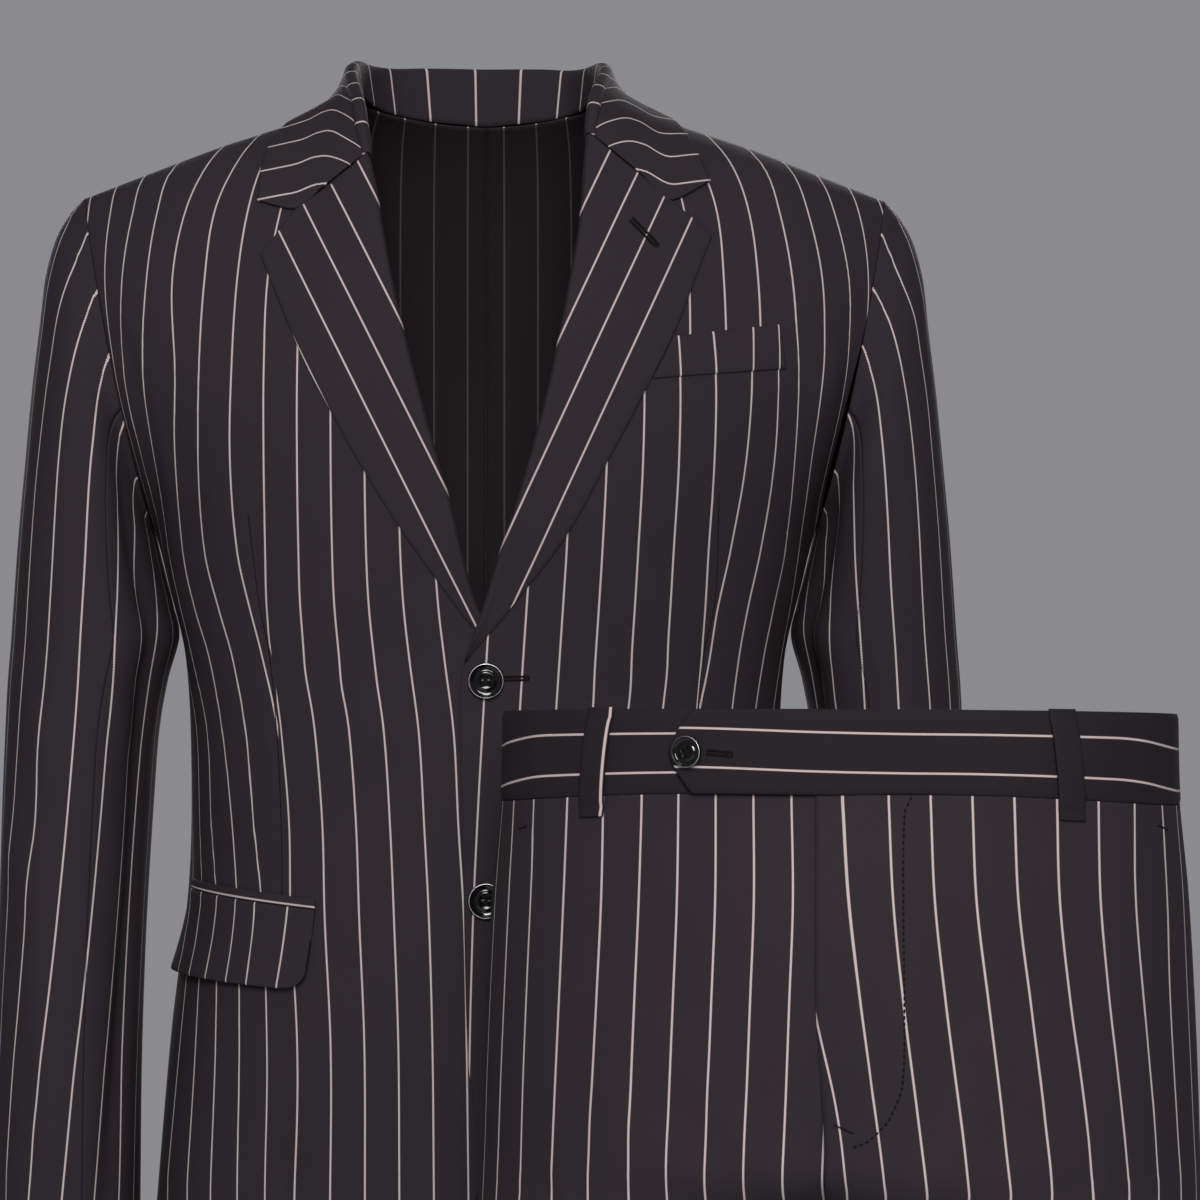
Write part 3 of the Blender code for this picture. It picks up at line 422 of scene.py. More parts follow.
def unit(vectors):
    """Vectors of length one."""
    return vectors / np.maximum(np.linalg.norm(vectors, axis=-1, keepdims=True), 1e-12)


def finer_ends(count, close=0.0015, length=0.3):
    """Shares from 0 to 1, even but for two closer ones at each end, for a soft edge."""
    inner = np.linspace(0.0, 1.0, count)[1:-1]
    step = close / length
    return np.concatenate(([0.0, step, 2.4 * step], inner[(inner > 4 * step) & (inner < 1 - 4 * step)],
                           [1 - 2.4 * step, 1 - step, 1.0]))


def folds(rows, x, z):
    """Height of the listed soft folds: each fades at its ends and to its sides."""
    height = np.zeros(np.broadcast(x, z).shape)
    for x0, z0, x1, z1, wide, proud in np.array(rows) / 1000:
        length = math.hypot(x1 - x0, z1 - z0)
        ahead = ((x - x0) * (x1 - x0) + (z - z0) * (z1 - z0)) / length
        bow = 0.10 * length * np.sin(np.clip(ahead / length, 0, 1) * math.pi)
        off = ((x - x0) * (z1 - z0) - (z - z0) * (x1 - x0)) / length - bow * (1 if proud > 0 else -1) * 0.5
        fade = smooth_step(-0.15, 0.30, ahead / length) * (1 - smooth_step(0.65, 1.15, ahead / length))
        height = height + proud * np.exp(-(off / wide) ** 2) * fade
    return height


def body_field(points):
    """Zero on the jacket body's smooth face and growing outward."""
    x, y, z = points[..., 0], points[..., 1], points[..., 2]
    across = (np.abs(x) / ease(BODY, "side", z)) ** ROUNDNESS
    ridge = ease(RIDGE, "z", np.abs(x), "x")
    rise = np.clip((z - UNDERARM_Z) / (ridge - UNDERARM_Z), 0.0, 1.0)
    depth = np.where(y < 0, ease(BODY, "front", z), ease(BODY, "back", z))
    return (1 - rise ** ROUNDNESS) * (across - 1) + np.abs(y / depth) ** ROUNDNESS


def body_normal(points):
    """Direction out of the body at points of its face."""
    step = 0.0004
    slopes = []
    for axis in range(3):
        move = np.zeros(3)
        move[axis] = step
        slopes.append(body_field(points + move) - body_field(points - move))
    return unit(np.stack(slopes, axis=-1))


def body_point(x, z, face, lift=0.0, folded=True):
    """Points of the jacket's outer face in front (-1) or back (1) view, moved out by lift and folds."""
    x, z = np.broadcast_arrays(np.asarray(x, float), np.asarray(z, float))
    across = np.minimum(np.abs(x) / ease(BODY, "side", z), 1.0)
    ridge = ease(RIDGE, "z", np.abs(x), "x")
    rise = np.clip((z - UNDERARM_Z) / (ridge - UNDERARM_Z), 0.0, 1.0)
    share = (1 - across ** ROUNDNESS) * (1 - rise ** ROUNDNESS)
    depth = ease(BODY, "front" if face < 0 else "back", z)
    points = np.stack((x, face * depth * np.maximum(share, 0.0) ** (1 / ROUNDNESS), z), axis=-1)
    height = np.asarray(lift, float) + np.zeros(x.shape)
    if folded:
        quiet = smooth_step(0.0, 0.06, share)
        height = height + folds(BODY_FOLDS["front" if face < 0 else "back"], x, z) * quiet
    return points + body_normal(points) * height[..., None]


def armhole_x(z):
    """The armhole lies in one slanting plane from shoulder point to underarm."""
    return mix(UNDERARM_X, SHOULDER_X, (z - UNDERARM_Z) / (SHOULDER_Z - UNDERARM_Z))


def armhole_inward(points, sign):
    """Direction from the armhole's edge to its middle, in the armhole's own plane."""
    level = 0.5 * (SHOULDER_Z + UNDERARM_Z)
    flat = np.array((sign * armhole_x(level), 0.0, level)) - points
    down = unit(np.array((sign * (UNDERARM_X - SHOULDER_X), 0.0, UNDERARM_Z - SHOULDER_Z)))
    inward = down * (flat @ down)[..., None]
    inward[..., 1] += flat[..., 1]
    return unit(inward)


def lap_lift(side, x, z):
    """The left front laps over the right one, so near its edge it stands out."""
    if side != "left":
        return np.zeros(np.broadcast(x, z).shape)
    near = 1 - smooth_step(0.019, 0.062, x)
    return LAP_LIFT * near * (1 - smooth_step(-0.245, -0.190, z))


def read_guides(guides, x, z):
    """Stripe number at points, read between guide stripes at known places."""
    numbers = sorted((key for key in guides if key != "z"), key=int)
    places = [ease(guides, key, z) for key in numbers]
    index = np.full(np.shape(x), float(numbers[0]))
    for i in range(len(numbers) - 1):
        low, high = int(numbers[i]), int(numbers[i + 1])
        share = (x - places[i]) / np.maximum(places[i + 1] - places[i], 0.002)
        within = share if i == 0 else np.maximum(share, 0.0)
        if i < len(numbers) - 2:
            within = np.minimum(within, 1.0)
        index = index + (high - low) * within
    return index


STRIPE_SWAY = 75.0


def front_index(side, x, z, centre_x, centre_z):
    """Stripe number on a front: the centres of faces say which side of the dart and welt they are."""
    sway = STRIPE_SWAY * folds(BODY_FOLDS["front"], SIDES[side] * x, z)
    inner = {key: STRIPES[side][key] for key in ("z", "0", "5")}
    outer = {key: STRIPES[side][key] for key in ("z", "6", "7", "8", "9", "10", "11")}
    dart_x = ease(DARTS[side], "x", centre_z)
    darted = centre_z < DARTS[side]["z"][-1]
    within = read_guides(inner, x, z)
    beyond = read_guides(outer, x, z)
    whole = read_guides(STRIPES[side], x, z)
    index = np.where(darted, np.where(centre_x < dart_x, within, beyond), whole)
    if side == "left":
        chest = read_guides(CHEST_STRIPES, x, z)
        above = (centre_z > WELT_STEP["level"]) & (centre_x < WELT_STEP["outer_x"])
        blend = smooth_step(-0.150, -0.120, z)
        outside = (centre_z > -0.150) & (centre_x >= WELT_STEP["outer_x"])
        index = np.where(above, chest, np.where(outside, mix(index, chest, blend), index))
    return index + sway


def finish_piece(piece, *nodes, slot="suit_cloth"):
    """The piece rides with the suit and stands for its CAD solid."""
    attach(piece, "root")
    if nodes:
        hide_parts(*nodes)
    return piece


def cloth_shell(name, outer, inner, index, along=None, face_cloth=JACKET_FACE):
    """A thin cloth piece from its outer and inner points, joined round the edge, with its UV map.

    index and along give each point's stripe number and its place along the stripe, either as
    grids or, where stripes step at a seam, as a function of the faces' corners.
    """
    rows, columns = outer.shape[:2]
    under = rows * columns
    order = np.arange(under).reshape(rows, columns)
    quads = np.stack((order[:-1, :-1], order[:-1, 1:], order[1:, 1:], order[1:, :-1]), axis=-1).reshape(-1, 4)
    rim = np.concatenate((order[0, :-1], order[:-1, -1], order[-1, :0:-1], order[:0:-1, 0]))
    following = np.roll(rim, -1)
    edge = np.stack((following, rim, rim + under, following + under), axis=-1)
    faces = np.concatenate((quads, quads[:, ::-1] + under, edge))
    row, column = rows // 2, columns // 2
    middle = outer[row, column]
    facing = np.cross(outer[row, column + 1] - middle, outer[row + 1, column] - middle)
    if np.dot(middle - inner[row, column], facing) < 0:
        faces = faces[:, ::-1]
    mesh = bpy.data.meshes.new(name)
    points = np.concatenate((outer.reshape(-1, 3), inner.reshape(-1, 3)))
    mesh.from_pydata(points.tolist(), [], faces.tolist())
    corners = faces % under
    if callable(index):
        spots = index(corners)
    else:
        spots = np.stack((index.reshape(-1)[corners], along.reshape(-1)[corners]), axis=-1)
    layer = mesh.uv_layers.new(name="cloth")
    layer.data.foreach_set("uv", spots.reshape(-1).astype(np.float32))
    mesh.materials.append(face_cloth)
    mesh.materials.append(WRONG_SIDE)
    slots = np.zeros(len(faces), np.int32)
    slots[len(quads):2 * len(quads)] = 1
    mesh.polygons.foreach_set("material_index", slots)
    mesh.shade_smooth()
    mesh.update()
    return finish_piece(add_object("cloth_" + name, mesh), name)


CLOSED_SEAM = 0.00001


def panel_edge_x(side, face, z):
    """A body panel's inner edge: roll line and front edge before, centre seam behind."""
    if face > 0:
        return np.full(np.shape(z), CLOSED_SEAM)
    return ease(FRONT_EDGE[side], "x", z) + (FOLD_RADIUS + SEAM) * smooth_step(-0.320, -0.290, z)


def panel_top_z(side, face, x):
    """A body panel's upper edge: the shoulder seam, and behind the neck its curve."""
    ridge = ease(RIDGE, "z", np.abs(x), "x")
    if face < 0:
        return ridge
    return np.minimum(ridge, NECK_BACK_Z + (NECK_POINT_Z - NECK_BACK_Z) * (x / NECK_X[side]) ** 2)


def dart_groove(side, x, z):
    """The sewn dart draws the cloth in along a fine line."""
    level = (z > DARTS[side]["z"][0]) & (z < DARTS[side]["z"][-1] + 0.004)
    off = x - ease(DARTS[side], "x", z)
    deep = smooth_step(-0.218, -0.240, z) if side == "left" else smooth_step(-0.228, -0.250, z)
    return np.where(level, -0.0009 * deep * np.exp(-(off / 0.0016) ** 2), 0.0)


def body_panel(side, face, levels, climbs, columns):
    """Grid of one front or back: outer points, inner points, and the front view's x and z."""
    sign = SIDES[side]
    outer = []
    inner = []
    views = []
    for kind, value in [("level", z) for z in levels] + [("climb", s) for s in climbs]:
        u = columns
        z = np.full(u.shape, value if kind == "level" else mix(UNDERARM_Z, 0.0, value))
        x = np.full(u.shape, 0.1)
        for _ in range(1 if kind == "level" else 14):
            edge_x = panel_edge_x(side, face, z)
            half = ease(BODY, "side", z)
            far_x = np.where(z <= UNDERARM_Z, half, armhole_x(z))
            near_turn = np.arccos(signed_power(edge_x / half, ROUNDNESS / 2))
            far_turn = np.arccos(np.minimum((far_x / half) ** (ROUNDNESS / 2), 1.0))
            depth = ease(BODY, "front" if face < 0 else "back", z)
            far_turn = np.where(z <= UNDERARM_Z + 0.001, np.maximum(far_turn, 1.5 * SEAM / depth), far_turn)
            x = half * signed_power(np.cos(mix(near_turn, far_turn, u)), 2 / ROUNDNESS)
            if kind == "climb":
                z = mix(UNDERARM_Z, panel_top_z(side, face, x), value)
        point = body_point(sign * x, z, face)
        out = body_normal(body_point(sign * x, z, face, 0.0, False))
        inward = -out
        if kind == "climb":
            turn_in = smooth_step(0.75, 1.0, u)[:, None]
            inward = unit(mix(inward, armhole_inward(point, sign), turn_in))
        if face < 0:
            point = point + out * (lap_lift(side, x, z) + dart_groove(side, x, z))[:, None]
        thin = point + inward * JACKET_CLOTH
        for grid in (point, thin):
            grid[:, 1] = np.where(grid[:, 1] * face < SEAM / 2, face * SEAM / 2, grid[:, 1])
        outer.append(point)
        inner.append(thin)
        views.append(np.stack((x, z), axis=-1))
    return np.array(outer), np.array(inner), np.array(views)


def run_length(grid, axis):
    """Distance run along a grid's rows or columns."""
    steps = np.linalg.norm(np.diff(grid, axis=axis), axis=-1)
    zero = np.zeros_like(np.take(steps, [0], axis=axis))
    return np.concatenate((zero, np.cumsum(steps, axis=axis)), axis=axis)


def panel_levels(step):
    """Levels of a body panel from the hem to the underarm, closer together at the hem's edge."""
    return np.concatenate((HEM_Z + np.array((0.0, 0.0015, 0.004, 0.008)),
                           np.arange(HEM_Z + 0.013, UNDERARM_Z - 0.002, step), [UNDERARM_Z]))


def build_front(side):
    """One jacket front, with its dart and its stripes."""
    outer, inner, views = body_panel(side, -1, panel_levels(0.0052), finer_ends(44, 0.0015, 0.19)[1:],
                                     finer_ends(66, 0.0014, 0.25))
    x, z = views[..., 0].reshape(-1), views[..., 1].reshape(-1)

    def spots(corners):
        centre_x = x[corners].mean(axis=1, keepdims=True)
        centre_z = z[corners].mean(axis=1, keepdims=True)
        return np.stack((front_index(side, x[corners], z[corners], centre_x, centre_z), z[corners]), axis=-1)

    piece = cloth_shell("jacket_front_" + side, outer, inner, spots)


def build_back(side):
    """One jacket back; its stripes run parallel to the centre seam."""
    outer, inner, _ = body_panel(side, 1, panel_levels(0.0062), finer_ends(40, 0.0015, 0.19)[1:],
                                 finer_ends(56, 0.0014, 0.25))
    index = run_length(outer, 1) / STRIPE_PITCH + 0.45
    piece = cloth_shell("jacket_back_" + side, outer, inner, index, run_length(outer, 0))


for suit_side in SIDES:
    build_front(suit_side)
    build_back(suit_side)

# The sleeves: a top and an under sleeve each, seamed before and behind, set into the armhole and
# bent a little forward. They hang straight with soft breaks at the elbow and above the cuff.
SLEEVE = metres({
    "outer_x": (237.6, 245.7, 252, 255.5, 260, 264, 268, 270.5, 272.2, 274, 275.1, 276.2, 277.2, 277.8,
                278.5, 279),
    "outer_z": (-53.8, -67.6, -89.6, -118.5, -156, -198, -240, -274, -300, -325, -355, -395, -465, -540,
                -620, -685),
    "inner_x": (191.9, 191.4, 190.7, 189.9, 189, 187.2, 184.6, 181.2, 177.6, 184, 188.8, 191.5, 195,
                196.8, 197, 197),
    "inner_z": (-238.5, -240.5, -243, -246, -250, -257, -267, -280, -298, -323, -352, -392, -463, -539,
                -620, -685),
    "depth": (70, 72, 73.5, 74, 74, 73.5, 72.5, 71.5, 70.5, 69.5, 68.5, 66.5, 63, 60, 57, 55),
    "middle_y": (1, 2, 3, 4, 5, 6, 6.5, 6, 5, 3.5, 1, -3, -11, -19, -26, -31),
})
SLEEVE["row"] = range(16)
FOREARM_SEAM = math.radians(108)
ELBOW_SEAM = math.radians(-120)
SLEEVE_PITCH = 0.0190
SLEEVE_ARC = 0.045
HEAD_DEPTH = 0.066
HEAD_LEAN = 0.36
LEFT_SLEEVE_TURN = 0.22
LEFT_SLEEVE_STRETCH = 1.04
LEFT_SLEEVE_RISE = 0.006

# The second stripe of each sleeve, by which the others are counted: x at each level
SLEEVE_STRIPE = metres({
    "right": {
        "z": (-685, -546.4, -501.5, -445.4, -389.3, -333.1, -277, -220.9, -192.8, -164.7, -136.6, -108.5,
              -93.3),
        "x": (272, 263.6, 259.8, 255, 250.5, 246.4, 243, 239.7, 237.5, 234.5, 229, 220.7, 215.3),
    },
    "left": {
        "z": (-685, -550, -501.5, -445.4, -389.3, -327.9, -277, -231.7, -180.8, -158.2, -135.6, -118.6,
              -96),
        "x": (270, 262, 259, 255, 251.5, 248.9, 245.7, 243.2, 239.2, 236.4, 231.7, 226.9, 216.8),
    },
})
# Soft folds of a sleeve, as for the body, but for x the turn round it in thousandths of a radian
SLEEVE_FOLDS = (
    (1300, -100, 1550, -270, 11, -2), (1750, -140, 1900, -300, 12, 2.2), (700, -85, 850, -200, 12, -1.2),
    (-300, -90, -450, -210, 13, -1.2), (1100, -330, 1750, -400, 10, 1.6),
    (1500, -370, 950, -420, 11, -1.8), (600, -400, 1500, -455, 12, 1.4), (1900, -300, 2400, -360, 10, 2),
    (-900, -330, -1600, -370, 12, 2.2), (-1400, -390, -700, -440, 12, -2.4),
    (-600, -450, -1500, -500, 13, 1.8), (1150, -560, 1800, -590, 11, 1.1), (300, -600, 950, -625, 12, -1),
    (2080, -165, 2080, -660, 8.5, -5.2), (1820, -165, 1820, -660, 8, 1.4),
)


def sleeve_point(side, row, turn):
    """Points of a sleeve: row 0 is the armhole and row 16 the cuff, turn 0 the shoulder."""
    sign = SIDES[side]
    level = mix(UNDERARM_Z, SHOULDER_Z, 0.5 + 0.5 * np.cos(turn))
    before = body_point(sign * armhole_x(level), level, -1, 0.0, False)
    behind = body_point(sign * armhole_x(level), level, 1, 0.0, False)
    ring = np.where((np.sin(turn) >= 0)[..., None], before, behind)
    ring_seam = ring + np.array((sign * SEAM, 0.0, 0.0))
    lower = np.maximum(row, 1.0)
    read = {key: ease(SLEEVE, key, lower - 1, "row") for key in SLEEVE if key != "row"}
    outer, inner = (np.stack((sign * read[edge + "_x"], 0 * turn, read[edge + "_z"]), axis=-1)
                    for edge in ("outer", "inner"))
    across = signed_power(np.cos(turn), 2 / ROUNDNESS)
    deep = signed_power(np.sin(turn), 2 / ROUNDNESS)
    point = mix(inner, outer, (0.5 + 0.5 * across)[..., None])
    point[..., 1] = read["middle_y"] - deep * read["depth"]
    share = smooth_step(0, 6, lower)
    climb = (ring[..., 2] - UNDERARM_Z) / (SHOULDER_Z - UNDERARM_Z)
    start = mix(inner, outer, climb[..., None])
    start[..., 1] = ring[..., 1] * mix(1.0, read["depth"] / HEAD_DEPTH, share)
    return mix(ring_seam, mix(start, point, share[..., None]), np.minimum(row, 1.0)[..., None])


def sleeve_index(side, outer, turns):
    """Stripe numbers on a sleeve: counted round it at each level from the measured second stripe."""
    sign = SIDES[side]
    levels = np.linspace(-0.690, -0.047, 150)
    rounds = np.linspace(ELBOW_SEAM, 2 * math.pi + ELBOW_SEAM, 420)
    rows, spread = np.meshgrid(np.linspace(0, 16, 200), rounds, indexing="ij")
    points = sleeve_point(side, rows, spread)
    across = np.zeros((len(levels), len(rounds)))
    deep = np.zeros(across.shape)
    there = np.zeros(across.shape, bool)
    for j in range(len(rounds)):
        column = points[::-1, j]
        across[:, j] = np.interp(levels, column[:, 2], sign * column[:, 0])
        deep[:, j] = np.interp(levels, column[:, 2], column[:, 1])
        there[:, j] = levels <= column[-1, 2] + 0.0005
    steps = np.hypot(np.diff(across, axis=1), np.diff(deep, axis=1)) * (there[:, 1:] & there[:, :-1])
    length = np.concatenate((np.zeros((len(levels), 1)), np.cumsum(steps, axis=1)), axis=1)
    table = np.zeros(across.shape)
    for i, level in enumerate(levels):
        before = there[i] & (rounds > 0) & (rounds < math.pi)
        wanted = float(ease(SLEEVE_STRIPE[side], "x", level))
        wanted -= HEAD_LEAN * max(0.0, level - SLEEVE_STRIPE[side]["z"][-1])
        path = across[i, before]
        start = float(np.interp(-wanted, -path, length[i, before])) + max(0.0, path.min() - wanted)
        table[i] = 2.0 + (length[i] - start) / SLEEVE_PITCH
    underarm = int(np.searchsorted(levels, UNDERARM_Z))
    behind = rounds > math.pi
    shift = table[underarm - 1, -1] - table[underarm:, -1]
    table[underarm:, behind] += shift[:, None]
    numbers = np.zeros(outer.shape[:2])
    for j, turn in enumerate(turns):
        place = (turn - rounds[0]) / (rounds[1] - rounds[0])
        low = int(min(place, len(rounds) - 2))
        column = mix(table[:, low], table[:, low + 1], place - low)
        numbers[:, j] = np.interp(outer[:, j, 2], levels, column)
    return numbers


def build_sleeve_part(part, side, first, last, columns):
    """One sleeve piece between two seams, from the armhole to the cuff."""
    sign = SIDES[side]
    trim = SEAM / 2 / 0.042
    turns = mix(first + trim, last - trim, finer_ends(columns, 0.0014, 0.2 if part == "top" else 0.12))
    rows = np.concatenate(([0.0, 0.15, 0.4, 0.7], np.linspace(1.0, 15.6, 128), [15.85, 15.95, 16.0]))
    grid_row, grid_turn = np.meshgrid(rows, turns, indexing="ij")
    outer = sleeve_point(side, grid_row, grid_turn)
    around = sleeve_point(side, grid_row, grid_turn + 0.02) - sleeve_point(side, grid_row, grid_turn - 0.02)
    above = sleeve_point(side, np.maximum(grid_row - 1, 0), grid_turn)
    below = sleeve_point(side, np.minimum(grid_row + 1, 16), grid_turn)
    inward = unit(np.cross(below - above, around)) * sign
    at_armhole = armhole_inward(outer, sign)
    inward = unit(mix(at_armhole, inward, np.minimum(grid_row / 3, 1.0)[..., None]))
    signed_turn = np.where(grid_turn > math.pi, grid_turn - 2 * math.pi, grid_turn)
    shift, stretch, raised = 0.0, 1.0, 0.0
    if side == "left":
        shift, stretch, raised = LEFT_SLEEVE_TURN, LEFT_SLEEVE_STRETCH, LEFT_SLEEVE_RISE
    rows = np.array(SLEEVE_FOLDS) * (SLEEVE_ARC, 1, SLEEVE_ARC, 1, 1, 1)
    proud = folds(rows, (signed_turn - shift) * SLEEVE_ARC, outer[..., 2] * stretch + raised)
    proud = proud * smooth_step(0.5, 4.0, grid_row) * smooth_step(16.0, 15.0, grid_row)
    index = sleeve_index(side, outer, turns)
    outer = outer - inward * proud[..., None]
    inner = outer + inward * JACKET_CLOTH
    piece = cloth_shell("sleeve_%s_%s" % (part, side), outer, inner, index, run_length(outer, 0))


for suit_side in SIDES:
    build_sleeve_part("top", suit_side, ELBOW_SEAM, FOREARM_SEAM, 58)
    build_sleeve_part("under", suit_side, FOREARM_SEAM, 2 * math.pi + ELBOW_SEAM, 34)

# The lapels: each front edge turned back on itself along the roll line, from the gorge seam and
# notch down to the break over the top button. Their stripes slant with the turned cloth.
LAPEL_RISE = 0.0016
LAPEL_FOOT_Z = {"right": -0.2925, "left": -0.3100}
LAPEL_EDGE = metres({
    "right": {
        "x": (123.7, 118.4, 99.6, 82.7, 64.3, 45.4, 20, 11, 4),
        "z": (-87.3, -100.4, -144.8, -176.9, -209.4, -239.1, -275, -287, -295),
    },
    "left": {
        "x": (125, 118.4, 103.2, 84.6, 63.9, 45, 21.5, 5.5, -6.6, -10.3),
        "z": (-75.2, -91.3, -129.7, -166.4, -205, -239.1, -270.6, -290.7, -304.4, -310),
    },
})
NOTCH = metres({
    "right": {
        "gorge": (64.8, -30),
        "notch": (104.2, -61.4),
        "point": (126.3, -56.3),
    },
    "left": {
        "gorge": (56.6, -18),
        "notch": (101.8, -55.7),
        "point": (125.1, -43.6),
    },
})
NOTCH_SHARE = 0.64
LAPEL_STRIPE = {"right": {"x": 0.1059, "z": -0.0900, "slope": 0.500, "pitch": 0.0209},
                "left": {"x": 0.0974, "z": -0.1010, "slope": 0.465, "pitch": 0.0209}}


def curve_through(points, shares):
    """Points at shares of a smooth curve through a few."""
    knots = np.array(points, float)
    lengths = np.concatenate(([0.0], np.cumsum(np.linalg.norm(np.diff(knots, axis=0), axis=1))))
    table = {"at": lengths}
    for axis in range(knots.shape[1]):
        table[str(axis)] = knots[:, axis]
    spots = np.asarray(shares) * lengths[-1]
    return np.stack([ease(table, str(axis), spots, "at") for axis in range(knots.shape[1])], axis=-1)


def lay_on_front(side, x, z, height):
    """Points over the front panel, given from the centre plane, at a height over it."""
    return body_point(SIDES[side] * x, z, -1, lap_lift(side, x, z) + height)


def lapel_profile(width, across):
    """Outer and inner place of the turned cloth from the roll: distance out and height."""
    reach = FOLD_RADIUS * min(1.0, width / 0.012)
    top = LAPEL_RISE + JACKET_CLOTH + SEAM
    places = [(0.1 * reach, -JACKET_CLOTH, 0.8 * reach, -JACKET_CLOTH),
              (-0.12 * reach, -0.3 * JACKET_CLOTH, 0.74 * reach, -0.3 * JACKET_CLOTH),
              (-0.05 * reach, 0.2 * top, 0.7 * reach, 0.2 * top),
              (0.10 * reach, 0.52 * top, 0.72 * reach, 0.34 * top),
              (0.38 * reach, 0.84 * top, 0.8 * reach, 0.46 * top),
              (0.70 * reach, 0.97 * top, 0.98 * reach, 0.55 * top),
              (reach, top, 1.15 * reach, top - JACKET_CLOTH)]
    for t in across[1:]:
        out = mix(reach, width, t)
        height = 2 * SEAM + LAPEL_RISE * (1 - t) ** 2
        edge = 0.0005 * math.exp(-((1 - t) * width / 0.0012) ** 2)
        places.append((out, height + JACKET_CLOTH - edge, max(out, 1.15 * reach), height))
    return places


def lapel_frame(side, rows):
    """Roll line and outer edge of a lapel, as matching points of the front view."""
    shares = finer_ends(rows, 0.0012, 0.27)
    gorge = NOTCH[side]["gorge"]
    z = mix(gorge[1], LAPEL_FOOT_Z[side], shares)
    roll = np.stack((ease(FRONT_EDGE[side], "x", z), z), axis=-1)
    edge = curve_through(list(zip(LAPEL_EDGE[side]["x"], LAPEL_EDGE[side]["z"])), shares)
    return shares, roll, edge


def build_lapel(side):
    """One turned-back lapel."""
    shares, roll, edge = lapel_frame(side, 66)
    first_width = np.linalg.norm(edge[0] - roll[0])
    notch_t = (NOTCH_SHARE * first_width - FOLD_RADIUS) / (first_width - FOLD_RADIUS)
    across = np.concatenate((np.linspace(0, notch_t, 17), np.linspace(notch_t, 0.97, 10)[1:],
                             [0.982, 0.992, 1.0]))
    outer = []
    inner = []
    views = []
    for i, share in enumerate(shares):
        line = edge[i] - roll[i]
        width = np.linalg.norm(line)
        ahead = line / width
        bend = np.array(NOTCH[side]["notch"]) - mix(roll[0], edge[0], NOTCH_SHARE)
        bend = bend * max(0.0, 1 - share * 11 / 3)
        places = np.array(lapel_profile(width, across))
        down = np.array((0.0, -0.0001 if i == 0 else 0.0))
        flats = []
        for far, high in ((places[:, 0], places[:, 1]), (places[:, 2], places[:, 3])):
            arch = np.maximum(0.0, 1 - np.abs(far / width - NOTCH_SHARE) / (1 - NOTCH_SHARE))
            spot = roll[i] + ahead * far[:, None] + bend * arch[:, None] + down
            flats.append((spot, lay_on_front(side, spot[:, 0], spot[:, 1], high)))
        outer.append(flats[0][1])
        inner.append(flats[1][1])
        views.append(flats[0][0])
    views = np.array(views)
    rule = LAPEL_STRIPE[side]
    index = (rule["x"] + rule["slope"] * (views[..., 1] - rule["z"]) - views[..., 0]) / rule["pitch"]
    outer = np.array(outer)
    piece = cloth_shell("lapel_" + side, outer, np.array(inner), index, run_length(outer, 0))


for suit_side in SIDES:
    build_lapel(suit_side)

# The collar: stand and fall in one folded piece of twill round the neck, sewn to the neckline and
# to both lapels at the gorge. Its stripes run across the fall and meet the lapels' stripes.
COLLAR_STATIONS = 12
CENTRE_STRIPE = 11.0
COLLAR_CLEARANCE = 3 * SEAM
ROLL_COLUMN = 24
FALL_COLUMN = 26
ROLL_BACK_Z = 0.0380
ROLL_SHOULDER_Z = 0.0320
FALL_EDGE = metres({
    "right": {
        "x": (126.2, 124.2, 118.5, 109.6),
        "z": (-48, -32.3, -17, -5.5),
    },
    "left": {
        "x": (124, 119.5, 114, 105),
        "z": (-38, -29, -16, -3),
    },
})
FALL_BACK = metres({
    "x": (96, 76, 40, 0),
    "z": (-2, -8, -12.5, -14),
})
COLLAR_STRIPES = {"share": (0.0, 0.44, 0.555, 0.667, 0.75, 0.889, 1.0),
                  "number": (2.1, 2.0, 1.75, 0.6, 0.0, -0.5, 0.0)}


def clear_of_body(points, clearance):
    """Move points straight out until they stand at least a clearance over the jacket's body."""
    spots = points.copy()
    step = 0.0005
    for _ in range(4):
        out = body_normal(spots)
        rise = (body_field(spots + out * step) - body_field(spots - out * step)) / (2 * step)
        height = body_field(spots) / np.maximum(rise, 1e-6)
        spots = spots + out * np.maximum(clearance - height, 0.0)[..., None]
    return spots


